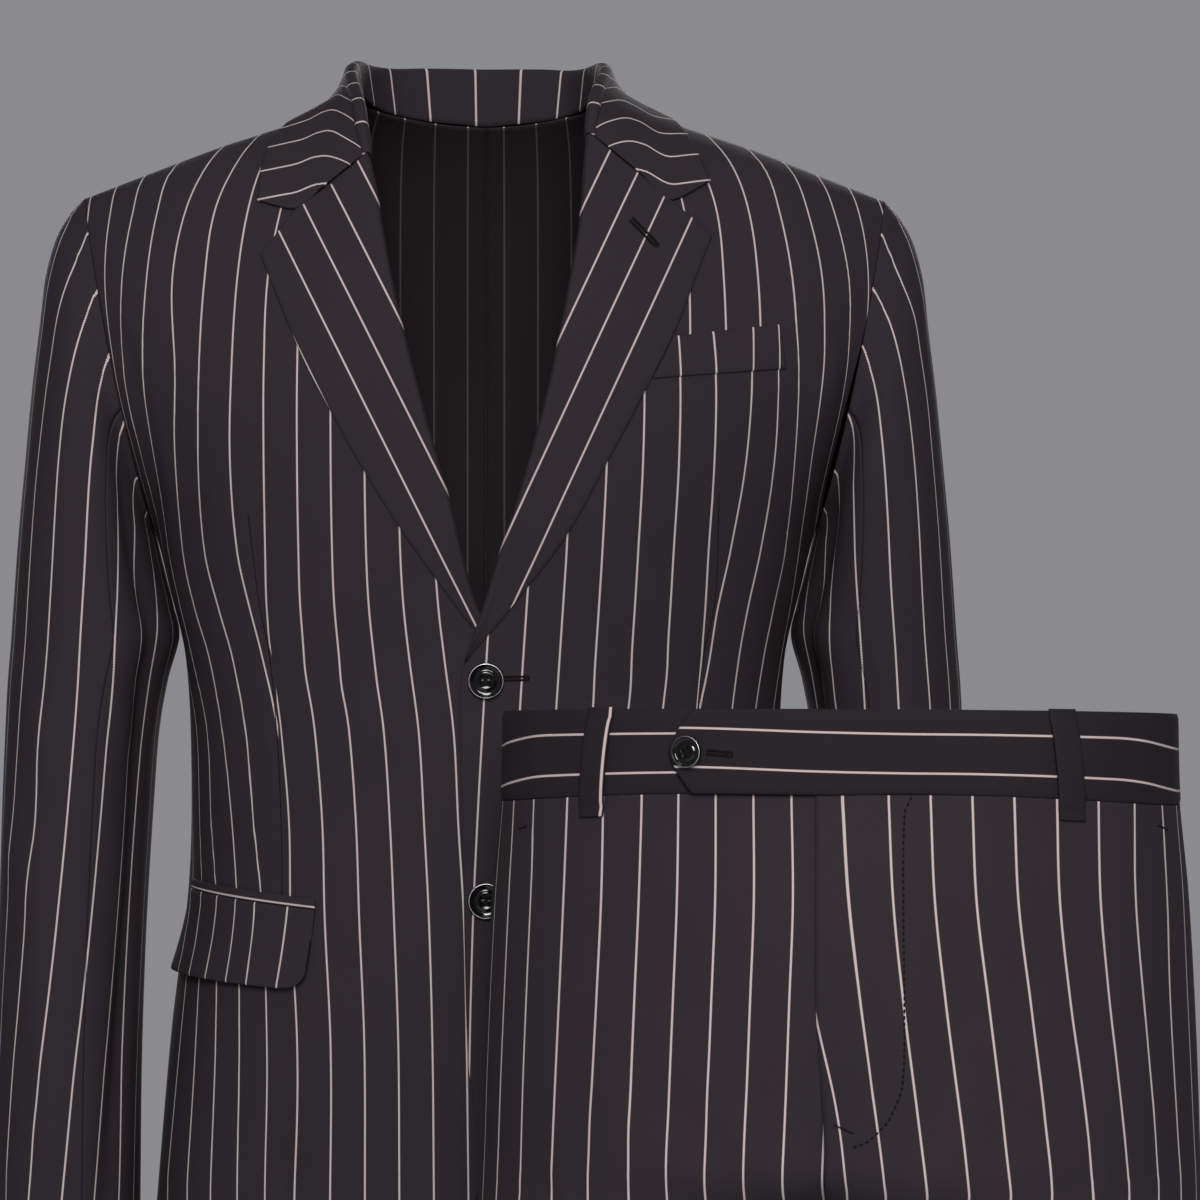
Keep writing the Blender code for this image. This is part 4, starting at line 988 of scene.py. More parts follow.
def collar_half(side):
    """Rows of one half of the collar, from its front end to the centre back."""
    sign = SIDES[side]
    notch = NOTCH[side]
    gorge = notch["gorge"]
    lead = 0.0001
    neck_x = NECK_X[side]
    level = gorge[1] + 0.5 * (NECK_POINT_Z - gorge[1])
    near = float(ease(FRONT_EDGE[side], "x", level))

    def on_body(x, z, face, lift=0.0):
        return body_point(sign * x, z, face, lift, False)

    foot_knots = [on_body(gorge[0], gorge[1] + lead, -1, -JACKET_CLOTH),
                  on_body(near, level, -1, -JACKET_CLOTH),
                  np.array((sign * (neck_x - 0.001), 0.0, NECK_POINT_Z + lead))]
    roll_knots = [on_body(gorge[0], gorge[1] + lead, -1, 0.0018),
                  on_body(near, level, -1, 0.0030) + np.array((0, 0, 0.006)),
                  np.array((sign * (neck_x + 0.001), 0.002, ROLL_SHOULDER_Z))]
    for share in (0.80, 0.45, 0.0):
        x = neck_x * share
        z = NECK_BACK_Z + (NECK_POINT_Z - NECK_BACK_Z) * share ** 2
        spot = on_body(x, z, 1)
        foot_knots.append(spot + np.array((0, -0.001, lead)))
        roll_knots.append(np.array((spot[0], spot[1] + 0.001, mix(ROLL_BACK_Z, ROLL_SHOULDER_Z, share ** 2))))
    clear = COLLAR_CLEARANCE
    edge_knots = [on_body(notch["point"][0], notch["point"][1] + lead, -1, clear)]
    edge_knots += [on_body(x, z, -1, clear) for x, z in zip(FALL_EDGE[side]["x"], FALL_EDGE[side]["z"])]
    edge_knots += [on_body(x, z, 1, clear + 0.0006) for x, z in zip(FALL_BACK["x"], FALL_BACK["z"])]
    shares = np.linspace(0, 1, COLLAR_STATIONS)
    feet = curve_through(foot_knots, shares)
    rolls = curve_through(roll_knots, shares)
    edges = curve_through(edge_knots, shares)
    end_notch = on_body(notch["notch"][0], notch["notch"][1] + lead, -1, clear)
    rows = []
    for i in range(COLLAR_STATIONS):
        foot, roll, edge = feet[i], rolls[i], edges[i]
        stand = roll - foot
        tall = np.linalg.norm(stand)
        up = stand / tall
        away = edge - foot
        out = unit(away - up * np.dot(away, up))
        reach = min(FOLD_RADIUS, 0.45 * tall)
        row = [foot, mix(foot, roll, 0.5), roll - up * reach, roll + out * 0.3 * reach,
               roll + out * 1.5 * reach - up * 0.25 * reach]
        start = roll + out * 2.1 * reach - up * 1.2 * reach
        knee = mix(foot, edge, 0.30)
        knee = knee + body_normal(knee) * 0.0042
        knee = mix(knee, mix(start, edge, 0.5), 1 - smooth_step(0.006, 0.016, tall))
        blend = max(0.0, 1 - i / 3)
        for t in (0.0, 0.22, 0.46, 0.72, 1.0):
            spot = start * (1 - t) ** 2 + knee * 2 * t * (1 - t) + edge * t * t
            straight = mix(start, end_notch, t / 0.72)
            if t > 0.72:
                straight = mix(end_notch, edge, (t - 0.72) / 0.28)
            row.append(clear_of_body(mix(spot, straight, blend), clear))
        rows.append(row)
    return np.array(rows)


def refine(grid, row_shares, column_shares):
    """A finer grid on smooth curves through a coarse one."""
    table = {"at": np.linspace(0, 1, grid.shape[0])}
    tall = []
    for axis in range(3):
        for j in range(grid.shape[1]):
            table["v"] = grid[:, j, axis]
            tall.append(ease(table, "v", row_shares, "at"))
    tall = np.array(tall).reshape(3, grid.shape[1], len(row_shares))
    table = {"at": np.linspace(0, 1, grid.shape[1])}
    fine = np.zeros((len(row_shares), len(column_shares), 3))
    for axis in range(3):
        for i in range(len(row_shares)):
            table["v"] = tall[axis, :, i]
            fine[i, :, axis] = ease(table, "v", column_shares, "at")
    return fine


def build_collar():
    """The whole collar, from one gorge round the neck to the other."""
    coarse = np.concatenate((collar_half("right"), collar_half("left")[-2::-1]))
    row_shares = finer_ends(150, 0.0012, 0.5)
    columns = np.concatenate((np.linspace(0, 0.965, 44), [0.978, 0.99, 1.0]))
    inner = refine(coarse, row_shares, columns)
    inner[:, FALL_COLUMN:] = clear_of_body(inner[:, FALL_COLUMN:], COLLAR_CLEARANCE)
    ahead = np.concatenate((inner[1:], inner[-1:])) - np.concatenate((inner[:1], inner[:-1]))
    across = np.concatenate((inner[:, 1:], inner[:, -1:]), axis=1)
    across = across - np.concatenate((inner[:, :1], inner[:, :-1]), axis=1)
    outer = inner + unit(np.cross(ahead, across)) * JACKET_CLOTH
    length = run_length(outer, 0)
    index = np.zeros(outer.shape[:2])
    start = ease(COLLAR_STRIPES, "number", columns, "share")
    for j in range(len(columns)):
        run = length[:, max(j, ROLL_COLUMN)]
        near = np.minimum(run, run[-1] - run)
        t = np.clip(near / (0.5 * run[-1]), 0, 1)
        index[:, j] = mix(start[j] + near / STRIPE_PITCH, mix(start[j], CENTRE_STRIPE, t), t ** 2)
    piece = cloth_shell("collar", outer, inner, index, run_length(outer, 1))


build_collar()

# The outside pockets: a welt on the left chest, and at each hip a narrow jet over a rounded flap.
# All are twill laid on the fronts; welt and flaps are cut so that the stripes match.
TRIM_CLOTH = 0.0012
WELT = {"inner_top": -0.1325, "outer_top": (0.1625, -0.1244),
        "inner_foot": -0.1560, "outer_foot": (0.1655, -0.1490)}
WELT_MATCH_Z = -0.155
POCKET_INNER_X = 0.0930
POCKET_OUTER_SHARE = 0.968
FLAP_TOP_Z = (-0.4462, -0.4400)
FLAP_FOOT_Z = (-0.4900, -0.4868)
FLAP_FOOT_SHARE = 0.984
FLAP_CORNER = 0.014
JET_HEIGHT = 0.0055


def flap_place(u, v):
    """Place on the front of points of the pocket flap, with its lower inner corner rounded."""
    top = mix(*FLAP_TOP_Z, u)
    near = np.maximum(0.0, 1 - u * 0.075 / FLAP_CORNER)
    foot = mix(*FLAP_FOOT_Z, u) + FLAP_CORNER * (1 - np.sqrt(1 - near ** 2)) * 0.9
    z = mix(top, foot, v)
    share = mix(POCKET_OUTER_SHARE, FLAP_FOOT_SHARE, v)
    return mix(POCKET_INNER_X + 0.003 * v, ease(BODY, "side", z) * share, u), z, 0.0038 * v * v


def jet_place(u, v):
    """Place on the front of points of the narrow jet over the flap."""
    z = mix(*FLAP_TOP_Z, u) + SEAM + JET_HEIGHT * (1 - v)
    return mix(POCKET_INNER_X, ease(BODY, "side", z) * POCKET_OUTER_SHARE, u), z, 0.0


def welt_place(u, v):
    """Place on the left front of points of the breast welt, from the lapel's edge outward."""
    inner_z = mix(WELT["inner_top"], WELT["inner_foot"], v)
    inner_x = ease(LAPEL_EDGE["left"], "x", inner_z) + 3 * SEAM
    outer_x = mix(WELT["outer_top"][0], WELT["outer_foot"][0], v)
    outer_z = mix(WELT["outer_top"][1], WELT["outer_foot"][1], v)
    return mix(inner_x, outer_x, u), mix(inner_z, outer_z, u), 0.0


def lay_trim(name, side, place, clear, thickness, size, stripes, crowd=1.0):
    """A small piece on a front: place gives its points, stripes its stripe numbers."""
    across, down, width, height = size
    u, v = np.meshgrid(finer_ends(across, 0.0011, width) ** crowd, finer_ends(down, 0.0008, height))
    x, z, extra = place(u, v)
    rounded = sum(np.exp(-(share * height / 0.0008) ** 2) for share in (v, 1 - v))
    outer = lay_on_front(side, x, z, clear + extra + thickness * (1 - 0.35 * rounded))
    inner = lay_on_front(side, x, z, clear + extra)
    return cloth_shell(name, outer, inner, *stripes(x, z, v))


def welt_stripes(x, z, v):
    """Stripes that carry on from the left front under the welt."""
    return front_index("left", x, z, x, np.minimum(z, WELT_MATCH_Z)), z


def lengthwise(x, z, v):
    """One stripe along the jet's lower edge."""
    return (0.80 - v) * JET_HEIGHT / STRIPE_PITCH, x


FLAP_STRIPES = metres({
    "z": (-490, -447),
    "5": (112, 107.7),
    "6": (128.6, 126.2),
    "7": (139.4, 137),
    "8": (151, 148),
    "9": (160.5, 157.8),
    "10": (168, 164.5),
    "11": (173, 169),
})


def flap_stripes(x, z, v):
    """The flap's stripes carry on from the front, without the one lost in the dart."""
    return read_guides(FLAP_STRIPES, x, z), z


welt = lay_trim("breast_welt", "left", welt_place, SEAM, TRIM_CLOTH, (40, 12, 0.075, 0.024), welt_stripes)
for suit_side in SIDES:
    jet = lay_trim("pocket_jet_" + suit_side, suit_side, jet_place, 2 * SEAM, TRIM_CLOTH,
                   (44, 6, 0.09, 0.0055), lengthwise)
    flap = lay_trim("pocket_flap_" + suit_side, suit_side, flap_place, 2 * SEAM, JACKET_CLOTH,
                    (50, 22, 0.10, 0.046), flap_stripes, 1.6)

# The buttons: polished black discs with a bright ring under the rim, a dished ring, a raised
# middle and four holes, sewn on through the cloth with black thread darkened by painted shade.
JACKET_BUTTON_RADIUS = 0.0098
WAIST_BUTTON_RADIUS = 0.0077
BUTTON_THICKNESS = 0.0034
BUTTON_SHANK = 0.0007
JACKET_BUTTON_Z = (-0.3208, -0.4404)
HOLE_PLACES = tuple((math.cos(a), math.sin(a)) for a in np.radians((40, 130, 220, 310)))


def plain_material(name, colour, roughness, metallic=0.0, specular=0.5):
    """A hard or thread finish: a colour and gloss broken up a little by fine noise."""
    material, shader = new_material(name)
    tree = material.node_tree
    wear = noise(tree, tree.nodes.new("ShaderNodeTexCoord").outputs["Object"], 420.0, 4.0)
    light = tuple(min(1.0, c * 1.35 + 0.0004) for c in colour)
    set_inputs(shader, {"Base Color": blend_colour(tree, wear, colour, light),
                        "Roughness": math_node(tree, "MULTIPLY_ADD", wear, 0.5 * roughness, 0.75 * roughness),
                        "Metallic": metallic, "Specular IOR Level": specular})
    return material


BUTTON_BLACK = plain_material("polished_black", (0.0025, 0.0025, 0.0028), 0.08, 0.0, 0.30)
BUTTON_RING = plain_material("bright_ring", (0.30, 0.32, 0.31), 0.35, 1.0)
# The thread's colour is about a fifth of the cloth's: black thread, darkened further with painted shade for
# the puckers round each stitch.
BLACK_THREAD_AND_PAINTED_SHADE = plain_material("black_thread_and_painted_shade", (0.0036, 0.0028, 0.0032), 0.85, 0.0, 0.08)
BUTTON_PROFILE = {"r": (0.0, 0.30, 0.46, 0.52, 0.60, 0.76, 0.86, 0.92, 0.975, 1.0),
                  "h": (0.66, 0.68, 0.72, 0.66, 0.56, 0.60, 0.76, 0.97, 0.90, 0.60)}
BUTTON_RINGS = np.concatenate((np.linspace(0.0, 0.45, 22), np.linspace(0.47, 0.90, 16),
                               np.linspace(0.92, 1.0, 7)))
BUTTON_UNDERSIDE = ((0.93, 0.16), (0.72, 0.0), (0.40, 0.0))
BRIGHT_RING = (0.93, 0.965)
BUTTON_STEPS = 72
HOLE_RADIUS = 0.115
HOLE_OUT = 0.27
STRAND_RADIUS = 0.00022


def build_button(name, seat, outward, radius, turned):
    """A sewn button: disc with four holes, and the thread through them."""
    tall = BUTTON_THICKNESS
    steps = BUTTON_STEPS
    circle = [(math.cos(a), math.sin(a)) for a in np.arange(steps) * 2 * math.pi / steps]
    verts = [(0.0, 0.0, ease(BUTTON_PROFILE, "h", 0.0, "r") * tall)]
    for ring in BUTTON_RINGS[1:]:
        for cos, sin in circle:
            height = float(ease(BUTTON_PROFILE, "h", ring, "r"))
            for hole_x, hole_y in HOLE_PLACES:
                far = math.hypot(ring * cos - hole_x * HOLE_OUT, ring * sin - hole_y * HOLE_OUT)
                height -= 0.50 * float(1 - smooth_step(0.75 * HOLE_RADIUS, 1.15 * HOLE_RADIUS, far))
            verts.append((ring * cos * radius, ring * sin * radius, height * tall))
    for ring, height in BUTTON_UNDERSIDE:
        verts += [(ring * radius * cos, ring * radius * sin, height * tall) for cos, sin in circle]
    verts.append((0.0, 0.0, 0.0))
    count = len(BUTTON_RINGS) - 1 + len(BUTTON_UNDERSIDE)
    faces = [(0, 1 + k, 1 + (k + 1) % steps) for k in range(steps)]
    bright = [0] * steps
    for ring in range(count - 1):
        base = 1 + ring * steps
        shown = ring + 1 < len(BUTTON_RINGS) and BRIGHT_RING[0] <= BUTTON_RINGS[ring + 1] <= BRIGHT_RING[1]
        bright += [int(shown)] * steps
        for k in range(steps):
            beside = (k + 1) % steps
            faces.append((base + k, base + steps + k, base + steps + beside, base + beside))
    last = 1 + (count - 1) * steps
    faces += [(last + (k + 1) % steps, last + k, len(verts) - 1) for k in range(steps)]
    mesh = bpy.data.meshes.new(name)
    mesh.from_pydata(verts, [], faces)
    for finish in (BUTTON_BLACK, BUTTON_RING, BLACK_THREAD_AND_PAINTED_SHADE):
        mesh.materials.append(finish)
    mesh.polygons.foreach_set("material_index", np.array(bright + [0] * steps, np.int32))
    mesh.shade_smooth()
    shape = bmesh.new()
    shape.from_mesh(mesh)
    for (x0, y0), (x1, y1) in (HOLE_PLACES[:2], HOLE_PLACES[2:]):
        for shift in (-0.035, 0.035):
            start = Vector((x0 * HOLE_OUT, y0 * HOLE_OUT + shift, 0.0)) * radius
            end = Vector((x1 * HOLE_OUT, y1 * HOLE_OUT + shift, 0.0)) * radius
            before = len(shape.faces)
            strand = bmesh.ops.create_cone(shape, cap_ends=True, segments=8, radius1=STRAND_RADIUS,
                                           radius2=STRAND_RADIUS, depth=(end - start).length * 1.05)
            turn = (end - start).to_track_quat("Z", "Y").to_matrix().to_4x4()
            middle = (start + end) / 2 + Vector((0, 0, 0.70 * tall))
            bmesh.ops.transform(shape, matrix=Matrix.Translation(middle) @ turn, verts=strand["verts"])
            shape.faces.ensure_lookup_table()
            for face in shape.faces[before:]:
                face.material_index = 2
    facing = outward.to_track_quat("Z", "Y").to_matrix().to_4x4()
    setting = Matrix.Translation(seat + outward * BUTTON_SHANK) @ facing @ Matrix.Rotation(turned, 4, "Z")
    bmesh.ops.transform(shape, matrix=setting, verts=shape.verts)
    shape.to_mesh(mesh)
    shape.free()
    finish_piece(add_object("button_" + name, mesh), name, slot="button_black")


for button_name, button_z in zip(("jacket_button_upper", "jacket_button_lower"), JACKET_BUTTON_Z):
    button_seat = lay_on_front("left", np.array(0.0), np.array(button_z), 0.0)
    button_out = body_normal(body_point(0.0, button_z, -1, 0.0, False))
    build_button(button_name, Vector(button_seat), Vector(button_out), JACKET_BUTTON_RADIUS, 0.12)

# The trousers: two fronts and two backs of the same twill, flat fronted, with a fly lapped from
# the left and slanting side pockets in the seams. They are placed before the jacket as worn.
TROUSER_CLOTH = 0.0015
TROUSER_PLACE = (0.1765, -0.275, 0.0)
TROUSER_TURN = math.radians(-9.0)
CROTCH_Z = -0.622
FORK_START_Z = -0.545
TROUSER_HEM_Z = -1.390
HIPS = metres({
    "z": (-630, -577, -520, -470, -420, -372, -325),
    "side": (179.8, 179.8, 178.5, 176.5, 173.5, 169, 168),
    "front": (112, 112, 111, 110, 108, 106, 105),
    "back": (125, 127, 128, 125, 118, 108, 105),
})
LEG = metres({
    "z": (-1390, -1150, -900, -770, -680, -622, -520),
    "middle_x": (87, 87, 88, 89.3, 90.3, 90.5, 90.5),
    "half": (54, 57, 66, 77, 85, 90.5, 90.5),
    "front": (66, 70, 82, 96, 105, 108, 110),
    "back": (70, 76, 86, 99, 113, 120, 125),
})
BAND_TOP_Z = -0.3285
BAND_FOOT_Z = -0.3688
BAND_BACK_DROP = 0.010
BAND_SIDE_DIP = 0.0088
BAND_CLOTH = 0.0024
FLY_LAP = 0.0040
FLY_LIFT = TROUSER_CLOTH + 2 * SEAM
TROUSER_SETTING = Matrix.Translation(TROUSER_PLACE) @ Matrix.Rotation(TROUSER_TURN, 4, "Z")

# Guide stripes of the trouser fronts: distance out from the centre line at each level
TROUSER_STRIPES = metres({
    "right": {
        "z": (-556, -514, -467, -419, -372),
        "0": (20.4, 18.3, 16.6, 15, 15.8),
        "4": (94, 92.9, 91, 89.2, 88.3),
        "5": (114.3, 112.6, 110.4, 108.4, 107.8),
        "6": (133.4, 131.9, 130, 128.1, 126.5),
        "7": (151, 149.8, 148, 146.2, 145.3),
        "8": (164.5, 163, 161, 159, 157),
    },
    "left": {
        "z": (-556, -514, -467, -419, -372),
        "-1": (11, 6, -1, -6, -9),
        "0": (29, 23.3, 17.3, 12.7, 10.4),
        "4": (106.3, 102.3, 96.5, 90.6, 88.8),
        "5": (125.7, 121.6, 115.1, 110.1, 108.8),
        "6": (143.1, 138.9, 133.6, 129.4, 128.5),
        "7": (157.2, 154.3, 150, 146.2, 145.9),
        "8": (168, 165.4, 163, 161.7, 159.2),
    },
})
TROUSER_FOLDS = {
    "front": (
        (4, -590, 10, -450, 9, -2.2), (-18, -575, -60, -500, 10, 1.6), (30, -580, 72, -510, 10, 1.6),
        (-50, -560, -118, -520, 12, 1.2), (60, -565, 125, -530, 12, 1.2), (-85, -400, -88, -900, 11, 1.6),
        (85, -400, 89, -900, 11, 1.6), (-40, -700, -120, -730, 14, -1.6), (45, -720, 125, -760, 14, -1.6),
        (-110, -620, -70, -800, 18, 1.8), (112, -640, 80, -830, 18, 1.8), (60, -860, 115, -890, 13, -2),
        (-65, -880, -118, -905, 13, -1.8),
    ),
    "back": (
        (10, -570, 80, -620, 13, -2.6), (-12, -560, -85, -615, 13, -2.6), (60, -640, 120, -600, 14, 2.4),
        (-60, -630, -122, -590, 14, 2.2), (85, -420, 88, -880, 12, 1.6), (-85, -420, -88, -880, 12, 1.6),
        (50, -720, 125, -700, 13, -2.2), (-55, -735, -120, -715, 13, -2.4),
        (40, -860, 120, -890, 13, -2.4), (-45, -875, -125, -860, 12, -2.2), (90, -930, 50, -950, 12, 1.8),
        (-92, -945, -50, -930, 12, 1.8),
    ),
}


def set_in_place(points):
    """Points of the trousers moved from their own frame to where they hang."""
    return points @ np.array(TROUSER_SETTING.to_3x3()).T + np.array(TROUSER_PLACE)


def past_crease(length):
    """Distance past the middle column of a panel, from the run along its rows."""
    return length - length[:, length.shape[1] // 2][:, None]


def band_top(angle):
    """The waistband's upper edge drops a little to the back."""
    return BAND_TOP_Z - BAND_BACK_DROP * (0.5 - 0.5 * np.cos(angle))


def band_foot(angle):
    """The waistband's lower seam dips toward the sides."""
    turned = np.minimum(np.abs((angle + math.pi) % (2 * math.pi) - math.pi), math.pi / 2)
    return BAND_FOOT_Z - BAND_SIDE_DIP * smooth_step(0.2, math.pi / 2, turned)


def leg_point(side, face, u, z):
    """Points of a trouser panel: u runs from the side seam to the centre or the inside leg."""
    sign = SIDES[side]
    hip = math.pi / 2 * (1 - u)
    column = "front" if face < 0 else "back"
    x_hip = ease(HIPS, "side", z) * signed_power(np.sin(hip), 2 / ROUNDNESS)
    y_hip = face * ease(HIPS, column, z) * signed_power(np.cos(hip), 2 / ROUNDNESS)
    turn = math.pi * u
    x_leg = ease(LEG, "middle_x", z) + ease(LEG, "half", z) * signed_power(np.cos(turn), 2 / ROUNDNESS)
    y_leg = face * ease(LEG, column, z) * signed_power(np.sin(turn), 2 / ROUNDNESS)
    share = 1 - smooth_step(CROTCH_Z, FORK_START_Z, z)
    return np.stack((sign * mix(x_hip, x_leg, share), mix(y_hip, y_leg, share), z + 0 * u), axis=-1)


def leg_index(side, outer, z):
    """Stripe numbers of a trouser front: measured above, evenly round the leg below."""
    length = run_length(outer, 1)
    x = outer[..., 0] * SIDES[side]
    level = np.clip(z, -0.556, -0.372)
    measured = read_guides(TROUSER_STRIPES[side], x, level)
    for row in range(len(measured)):
        last = float(ease(TROUSER_STRIPES[side], "8", level[row, 0]))
        passed = np.interp(-last, -x[row], length[row])
        beyond = 8.0 + (passed - length[row]) / STRIPE_PITCH
        measured[row] = np.where(length[row] < passed, beyond, measured[row])
    middle = measured[:, length.shape[1] // 2][:, None]
    return mix(middle - past_crease(length) / STRIPE_PITCH, measured, smooth_step(-0.80, -0.50, z))


def build_leg_panel(side, face):
    """A front or back of the trousers, from the hem to the waistband's seam."""
    sign = SIDES[side]
    u = finer_ends(52, 0.0013, 0.24)
    shares = np.concatenate(([0.0, 0.0014, 0.004], np.linspace(0.008, 0.62, 62),
                             np.linspace(0.626, 0.994, 74), [0.9975, 0.999, 1.0]))
    hip = math.pi / 2 * (1 - u)
    top = band_foot(hip if face < 0 else math.pi - hip) - SEAM
    z = mix(TROUSER_HEM_Z, top[None, :], shares[:, None])
    grid_u = np.broadcast_to(u, z.shape)
    outer = leg_point(side, face, grid_u, z)
    wide = leg_point(side, face, grid_u + 0.004, z) - leg_point(side, face, grid_u - 0.004, z)
    tall = leg_point(side, face, grid_u, z + 0.004) - leg_point(side, face, grid_u, z - 0.004)
    out = unit(np.cross(wide, tall)) * face * sign
    smooth = outer
    quiet = smooth_step(0.0, 0.10, grid_u) * smooth_step(TROUSER_HEM_Z, TROUSER_HEM_Z + 0.05, z)
    quiet = quiet * (1 - smooth_step(0.93, 1.0, grid_u) * (1 - smooth_step(-0.60, -0.57, z)))
    quiet = quiet * smooth_step(-0.378, -0.400, z)
    rise = folds(TROUSER_FOLDS["front" if face < 0 else "back"], outer[..., 0], z) * quiet
    crease = 0.0012 * np.exp(-((grid_u - 0.5) / 0.020) ** 2) * (1 - smooth_step(-0.60, -0.45, z))
    outer = outer + out * (rise + crease)[..., None]
    if face < 0 and side == "left":
        lap = smooth_step(0.80, 0.90, grid_u) * smooth_step(-0.594, -0.562, z)
        outer = outer + out * (FLY_LIFT * lap)[..., None]
        outer[..., 0] -= (FLY_LAP + SEAM) * smooth_step(0.95, 1.0, grid_u) * smooth_step(-0.5400, -0.455, z)
    inner = outer - out * TROUSER_CLOTH
    lapping = (face < 0 and side == "left") & (z > -0.5385)
    for grid in (outer, inner):
        edge = (grid[..., 1] * face < SEAM / 2) & ((grid_u < 0.1) | (grid_u > 0.9))
        grid[..., 1] = np.where(edge, face * CLOSED_SEAM, grid[..., 1])
        over = (grid[..., 0] * sign < SEAM / 2) & ~lapping
        grid[..., 0] = np.where(over, sign * CLOSED_SEAM, grid[..., 0])
    if face < 0:
        index = leg_index(side, smooth, z)
    else:
        index = 4.2 - past_crease(run_length(smooth, 1)) / STRIPE_PITCH
    name = "trouser_%s_%s" % ("front" if face < 0 else "back", side)
    piece = cloth_shell(name, set_in_place(outer), set_in_place(inner), index, run_length(smooth, 0),
                        TROUSER_FACE)


for suit_side in SIDES:
    for leg_face in (-1, 1):
        build_leg_panel(suit_side, leg_face)

# The waistband: a folded band of twill in two halves, closed before by a pointed tab that runs
# over the right half, with its stripes lying level. Five belt loops are sewn over it.
TAB_REACH = 0.0735
TAB_SHAPE = 0.075
TAB_LIFT = BAND_CLOTH + 4 * SEAM
TAB_BUTTON_X = -0.0630
BAND_LIFT = 0.0006
LOOP_HALF_WIDTH = 0.0060
LOOPS = (
    {"x": -0.1106, "behind": False, "slant": -0.034, "stripe_at": 0.84},
    {"x": 0.1130, "behind": False, "slant": 0.034, "stripe_at": 2.2},
    {"x": -0.105, "behind": True, "slant": 0.0, "stripe_at": 0.5},
    {"x": 0.105, "behind": True, "slant": 0.0, "stripe_at": -0.5},
    {"x": 0.0, "behind": True, "slant": 0.0, "stripe_at": 0.2},
)
LOOP_OVERHANG = 0.0100
LOOP_SIDE_REACH = 0.120
LOOP_BACK_REACH = 0.260
BAND_STRIPES = {"lower": 0.25, "pitch": 0.46, "side_drop": 0.10}


def hip_point(angle, z, lift=0.0):
    """Points round the trousers' hips: angle 0 at the front, a quarter turn at the wearer's left."""
    front = np.cos(angle) >= 0
    half = ease(HIPS, "side", z) + lift
    depth = np.where(front, ease(HIPS, "front", z), ease(HIPS, "back", z)) + lift
    x = half * signed_power(np.sin(angle), 2 / ROUNDNESS)
    y = -depth * signed_power(np.cos(angle), 2 / ROUNDNESS)
    return np.stack((x, y, z + 0 * x), axis=-1)


def angle_at(x, z=BAND_FOOT_Z):
    """The angle round the front of the hips that reaches a distance from the centre."""
    return float(np.arcsin(signed_power(x / ease(HIPS, "side", z), ROUNDNESS / 2)))


def build_waistband(side):
    """Half of the waistband."""
    sign = SIDES[side]
    front = angle_at(-TAB_REACH) if side == "left" else SEAM / 0.2
    back = math.pi - SEAM / 0.2
    u = finer_ends(120, 0.0012, 0.45)
    v = finer_ends(16, 0.0009, 0.04)
    grid_v, grid_u = np.meshgrid(v, u, indexing="ij")
    angle = mix(front, back, grid_u)
    if side == "left":
        slope = np.maximum(0.0, 1 - grid_u * 15)
        angle = angle + TAB_SHAPE * np.abs(2 * grid_v - 1) ** 1.3 * slope
    z = mix(band_foot(angle), band_top(angle), grid_v)
    lift = np.full(angle.shape, BAND_LIFT)
    if side == "left":
        lift = lift + TAB_LIFT * (1 - smooth_step(0.02, 0.16, angle))
    rounding = 0.0007 * (np.exp(-(grid_v / 0.035) ** 2) + np.exp(-((1 - grid_v) / 0.035) ** 2))
    ripple = 0.00035 * np.sin(angle * 23.0 + 2.0 * sign) * np.sin(grid_v * math.pi)
    outer = hip_point(sign * angle, z, lift - rounding + ripple)
    inner = hip_point(sign * angle, z, lift - BAND_CLOTH)
    for grid in (outer, inner):
        short = (grid[..., 0] * sign < SEAM / 2) & ((side == "right") | (angle > 2))
        grid[..., 0] = np.where(short, sign * SEAM / 2, grid[..., 0])
    drop = BAND_STRIPES["side_drop"] * smooth_step(0.9, 1.45, np.minimum(angle, math.pi - angle))
    if side == "left":
        drop = drop - 0.07 * (1 - smooth_step(front, front + 0.62, angle))
    index = (grid_v - BAND_STRIPES["lower"] + drop) / BAND_STRIPES["pitch"]
    name = "waistband_" + side
    piece = cloth_shell(name, set_in_place(outer), set_in_place(inner), index, run_length(outer, 1),
                        BAND_TWILL_PAINTED_SHADE)


def build_loop(number, x, behind, slant, stripe_at):
    """A belt loop from over the band's top edge to below its seam."""
    angle = math.pi - angle_at(x) if behind else angle_at(x)
    lift = BAND_LIFT + SEAM
    half_angle = LOOP_HALF_WIDTH / (LOOP_BACK_REACH if abs(angle - math.pi) < 0.3 else LOOP_SIDE_REACH)
    v, w = np.meshgrid(finer_ends(34, 0.0008, 0.05), finer_ends(9, 0.0007, 0.012) * 2 - 1, indexing="ij")
    turn = angle + half_angle * w + slant * (0.5 - v)
    z = mix(band_foot(turn) - LOOP_OVERHANG, band_top(turn) + 0.001, v)
    proud = 0.0022 * np.sin(math.pi * np.clip((v - 0.1) / 0.8, 0, 1)) ** 0.5
    round_edge = 0.0005 * np.abs(w) ** 6
    outer = hip_point(turn, z, lift + proud + TRIM_CLOTH - round_edge)
    inner = hip_point(turn, z, lift + proud)
    index = (w - stripe_at) * LOOP_HALF_WIDTH / STRIPE_PITCH
    name = "belt_loop_%d" % number
    piece = cloth_shell(name, set_in_place(outer), set_in_place(inner), index, run_length(outer, 0),
                        BAND_TWILL_PAINTED_SHADE)


for suit_side in SIDES:
    build_waistband(suit_side)
for loop_number, loop in enumerate(LOOPS, 1):
    build_loop(loop_number, **loop)

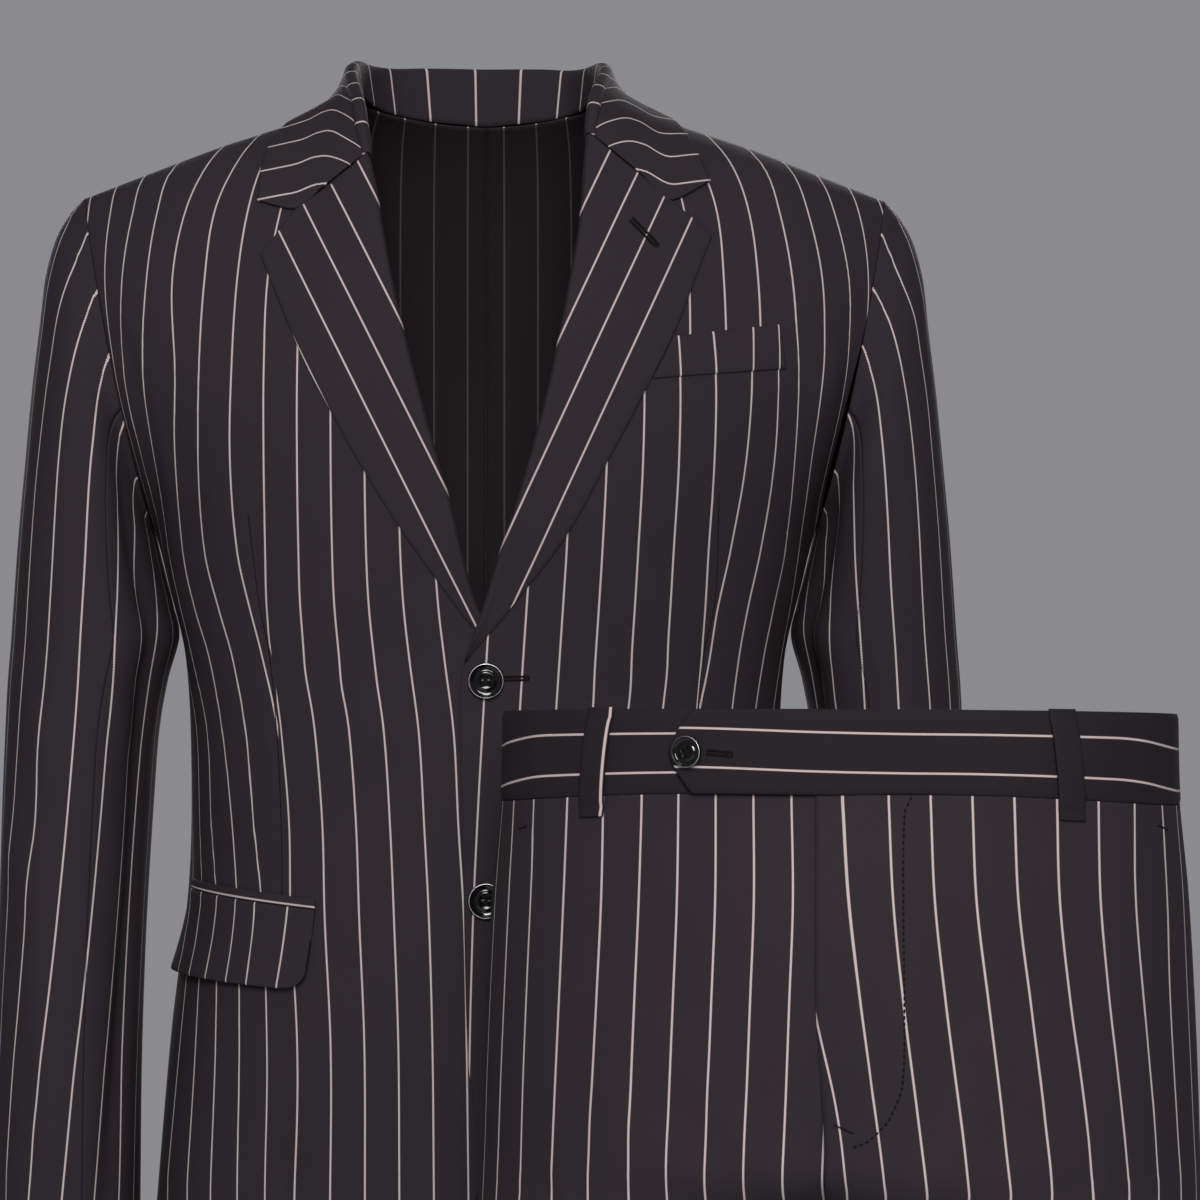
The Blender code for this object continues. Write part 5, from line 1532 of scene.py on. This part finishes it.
tab_angle = angle_at(TAB_BUTTON_X)
tab_level = 0.5 * (band_top(tab_angle) + band_foot(tab_angle))
tab_seat = hip_point(tab_angle, tab_level, BAND_LIFT + TAB_LIFT + SEAM)
tab_out = unit(hip_point(tab_angle, tab_level, 0.01) - hip_point(tab_angle, tab_level, 0.0))
tab_turn = np.array(TROUSER_SETTING.to_3x3())
build_button("waistband_button", Vector(set_in_place(tab_seat)), Vector(tab_turn @ tab_out),
             WAIST_BUTTON_RADIUS, 0.5)

# The sewing: dart seams, buttonholes, the fly's stitching and bar tacks, in black thread whose colour
# also holds painted shade for the puckers round each stitch. Single stitches are small rounded lengths
# of thread set along a path on the finished cloth, dense ones make buttonholes and bar tacks.
FLY_STITCH = metres((
    (40.4, -370.5), (37.6, -377.7), (37.1, -421), (37.6, -484), (36.5, -506), (31.5, -519), (28.7, -523.5),
    (20.2, -531.5), (14.6, -533.8)))
BAR_TACKS = {
    "fly_end": {"cloth": "trouser_front_left", "path": metres(((5, -524), (13.5, -527.5)))},
    "pocket_right": {"cloth": "trouser_front_right", "path": metres(((-149, -388), (-153, -389.5)))},
    "pocket_left": {"cloth": "trouser_front_left", "path": metres(((157.5, -386), (161.5, -388)))},
}
BUTTONHOLES = {
    "lapel": {"cloth": "lapel_left", "start": (0.0800, -0.0670), "end": (0.0937, -0.0812), "half": 0.0011},
    "upper": {"cloth": "jacket_front_left", "start": (0.0085, -0.3198), "end": (0.0222, -0.3196)},
    "lower": {"cloth": "jacket_front_left", "start": (0.0085, -0.4394), "end": (0.0222, -0.4392)},
    "tab": {"cloth": "waistband_left", "start": (-0.0560, -0.3492), "end": (-0.0450, -0.3502),
            "setting": TROUSER_SETTING},
}
EYELET_RADIUS = 0.0013
HOLE_STITCH_RISE = 0.00012
HOLE_STITCH_RADIUS = 0.00027
DART_SEWN_TO_Z = -0.4395


def build_stitch_tree():
    """Sets one rounded stitch on each point, turned along the point's own direction."""
    tree, source = new_group(
        "thread_stitches", "GeometryNodeTree",
        {"Geometry": "Geometry", "Thread Radius": "Float", "Stitch Length": "Float", "Thread": "Material"},
        {"Geometry": "Geometry"})
    radius = source["Thread Radius"]
    ball = new_node(tree, "GeometryNodeMeshUVSphere", {"Segments": 6, "Rings": 5, "Radius": 1.0})
    half = math_node(tree, "MULTIPLY", source["Stitch Length"], 0.5)
    shape = new_node(tree, "ShaderNodeCombineXYZ", {"X": radius, "Y": radius, "Z": half})
    stitch = new_node(tree, "GeometryNodeTransform",
                      {"Geometry": ball.outputs["Mesh"], "Scale": shape.outputs[0]})
    ahead = tree.nodes.new("GeometryNodeInputNamedAttribute")
    ahead.data_type = "FLOAT_VECTOR"
    set_inputs(ahead, {"Name": "ahead"})
    turn = tree.nodes.new("FunctionNodeAlignRotationToVector")
    turn.axis = "Z"
    set_inputs(turn, {"Vector": ahead.outputs["Attribute"]})
    place = new_node(tree, "GeometryNodeInstanceOnPoints",
                     {"Points": source["Geometry"], "Instance": stitch.outputs["Geometry"],
                      "Rotation": turn.outputs["Rotation"]})
    real = new_node(tree, "GeometryNodeRealizeInstances", {"Geometry": place.outputs["Instances"]})
    paint = new_node(tree, "GeometryNodeSetMaterial",
                     {"Geometry": real.outputs["Geometry"], "Material": source["Thread"]})
    new_node(tree, "NodeGroupOutput", {"Geometry": paint.outputs["Geometry"]})
    return tree


STITCHES = build_stitch_tree()


def on_cloth(cloth, path, setting=None):
    """Front-view places dropped on a finished cloth: points and the cloth's outward direction."""
    depsgraph = bpy.context.evaluated_depsgraph_get()
    tree = BVHTree.FromObject(bpy.data.objects["cloth_" + cloth], depsgraph)
    turn = setting or Matrix.Identity(4)
    ahead = turn.to_3x3() @ Vector((0.0, 1.0, 0.0))
    hits = [tree.ray_cast(turn @ Vector((x, -0.6, z)), ahead) for x, z in path]
    hits = [hit for hit in hits if hit[0] is not None]
    return np.array([hit[0] for hit in hits]), np.array([hit[1] for hit in hits])


def sew(name, points, ahead, length, radius):
    """Stitches at points, each along its own direction, as one plain mesh."""
    mesh = bpy.data.meshes.new(name)
    mesh.from_pydata(points.tolist(), [], [])
    layer = mesh.attributes.new("ahead", "FLOAT_VECTOR", "POINT")
    layer.data.foreach_set("vector", ahead.reshape(-1).astype(np.float32))
    carrier = add_object(name + "_points", mesh)
    modifier = carrier.modifiers.new("stitches", "NODES")
    modifier.node_group = STITCHES
    values = {"Thread Radius": radius, "Stitch Length": length, "Thread": BLACK_THREAD_AND_PAINTED_SHADE}
    for socket in STITCHES.interface.items_tree:
        if socket.in_out == "INPUT" and socket.name in values:
            modifier[socket.identifier] = values[socket.name]
    depsgraph = bpy.context.evaluated_depsgraph_get()
    done = bpy.data.meshes.new_from_object(carrier.evaluated_get(depsgraph), depsgraph=depsgraph)
    bpy.data.objects.remove(carrier)
    done.name = name
    done.shade_smooth()
    finish_piece(add_object(name, done))


def sew_path(name, cloth, path, setting, spacing, length, radius, rise):
    """A row of single stitches along a path given in the front view."""
    run = np.sum(np.linalg.norm(np.diff(np.array(path), axis=0), axis=1))
    even = curve_through(path, np.linspace(0, 1, max(3, int(run / spacing) + 1)))
    points, outward = on_cloth(cloth, even, setting)
    sew(name, points + outward * rise, unit(np.gradient(points, axis=0)), length, radius)


def sew_buttonhole(name, cloth, start, end, setting=None, half=0.0009, spacing=0.00050):
    """A worked buttonhole: crosswise stitches close together down both sides of the cut."""
    start, end = np.array(start), np.array(end)
    along = (end - start) / np.linalg.norm(end - start)
    across = np.array((-along[1], along[0]))
    steps = int(np.linalg.norm(end - start) / spacing)
    path = [start + along * spacing * k + across * side * half for side in (-1, 1) for k in range(steps)]
    turns = np.radians(np.arange(0, 360, 30))
    eyelet = [end + np.array((math.cos(turn), math.sin(turn))) * EYELET_RADIUS for turn in turns]
    points, outward = on_cloth(cloth, path + eyelet, setting)
    ahead = unit(np.cross(outward, unit(points[steps - 1] - points[0])))
    ring = points[-len(eyelet):]
    ahead[-len(eyelet):] = unit(ring - ring.mean(axis=0))
    sew(name, points + outward * HOLE_STITCH_RISE, ahead, 1.9 * half, HOLE_STITCH_RADIUS)


for suit_side in SIDES:
    dart_z = np.linspace(DARTS[suit_side]["z"][-1], DART_SEWN_TO_Z, 60)
    dart_path = np.stack((SIDES[suit_side] * ease(DARTS[suit_side], "x", dart_z), dart_z), axis=-1)
    sew_path("dart_seam_" + suit_side, "jacket_front_" + suit_side, dart_path, None,
             spacing=0.0022, length=0.0027, radius=0.00030, rise=0.000135)
for hole_name, hole in BUTTONHOLES.items():
    sew_buttonhole("buttonhole_" + hole_name, **hole)
sew_path("fly_stitches", "trouser_front_left", FLY_STITCH, TROUSER_SETTING,
         spacing=0.0030, length=0.0021, radius=0.00050, rise=0.000325)
for tack_name, tack in BAR_TACKS.items():
    sew_path("bar_tack_" + tack_name, tack["cloth"], tack["path"], TROUSER_SETTING,
             spacing=0.0005, length=0.0016, radius=0.00042, rise=0.000389)
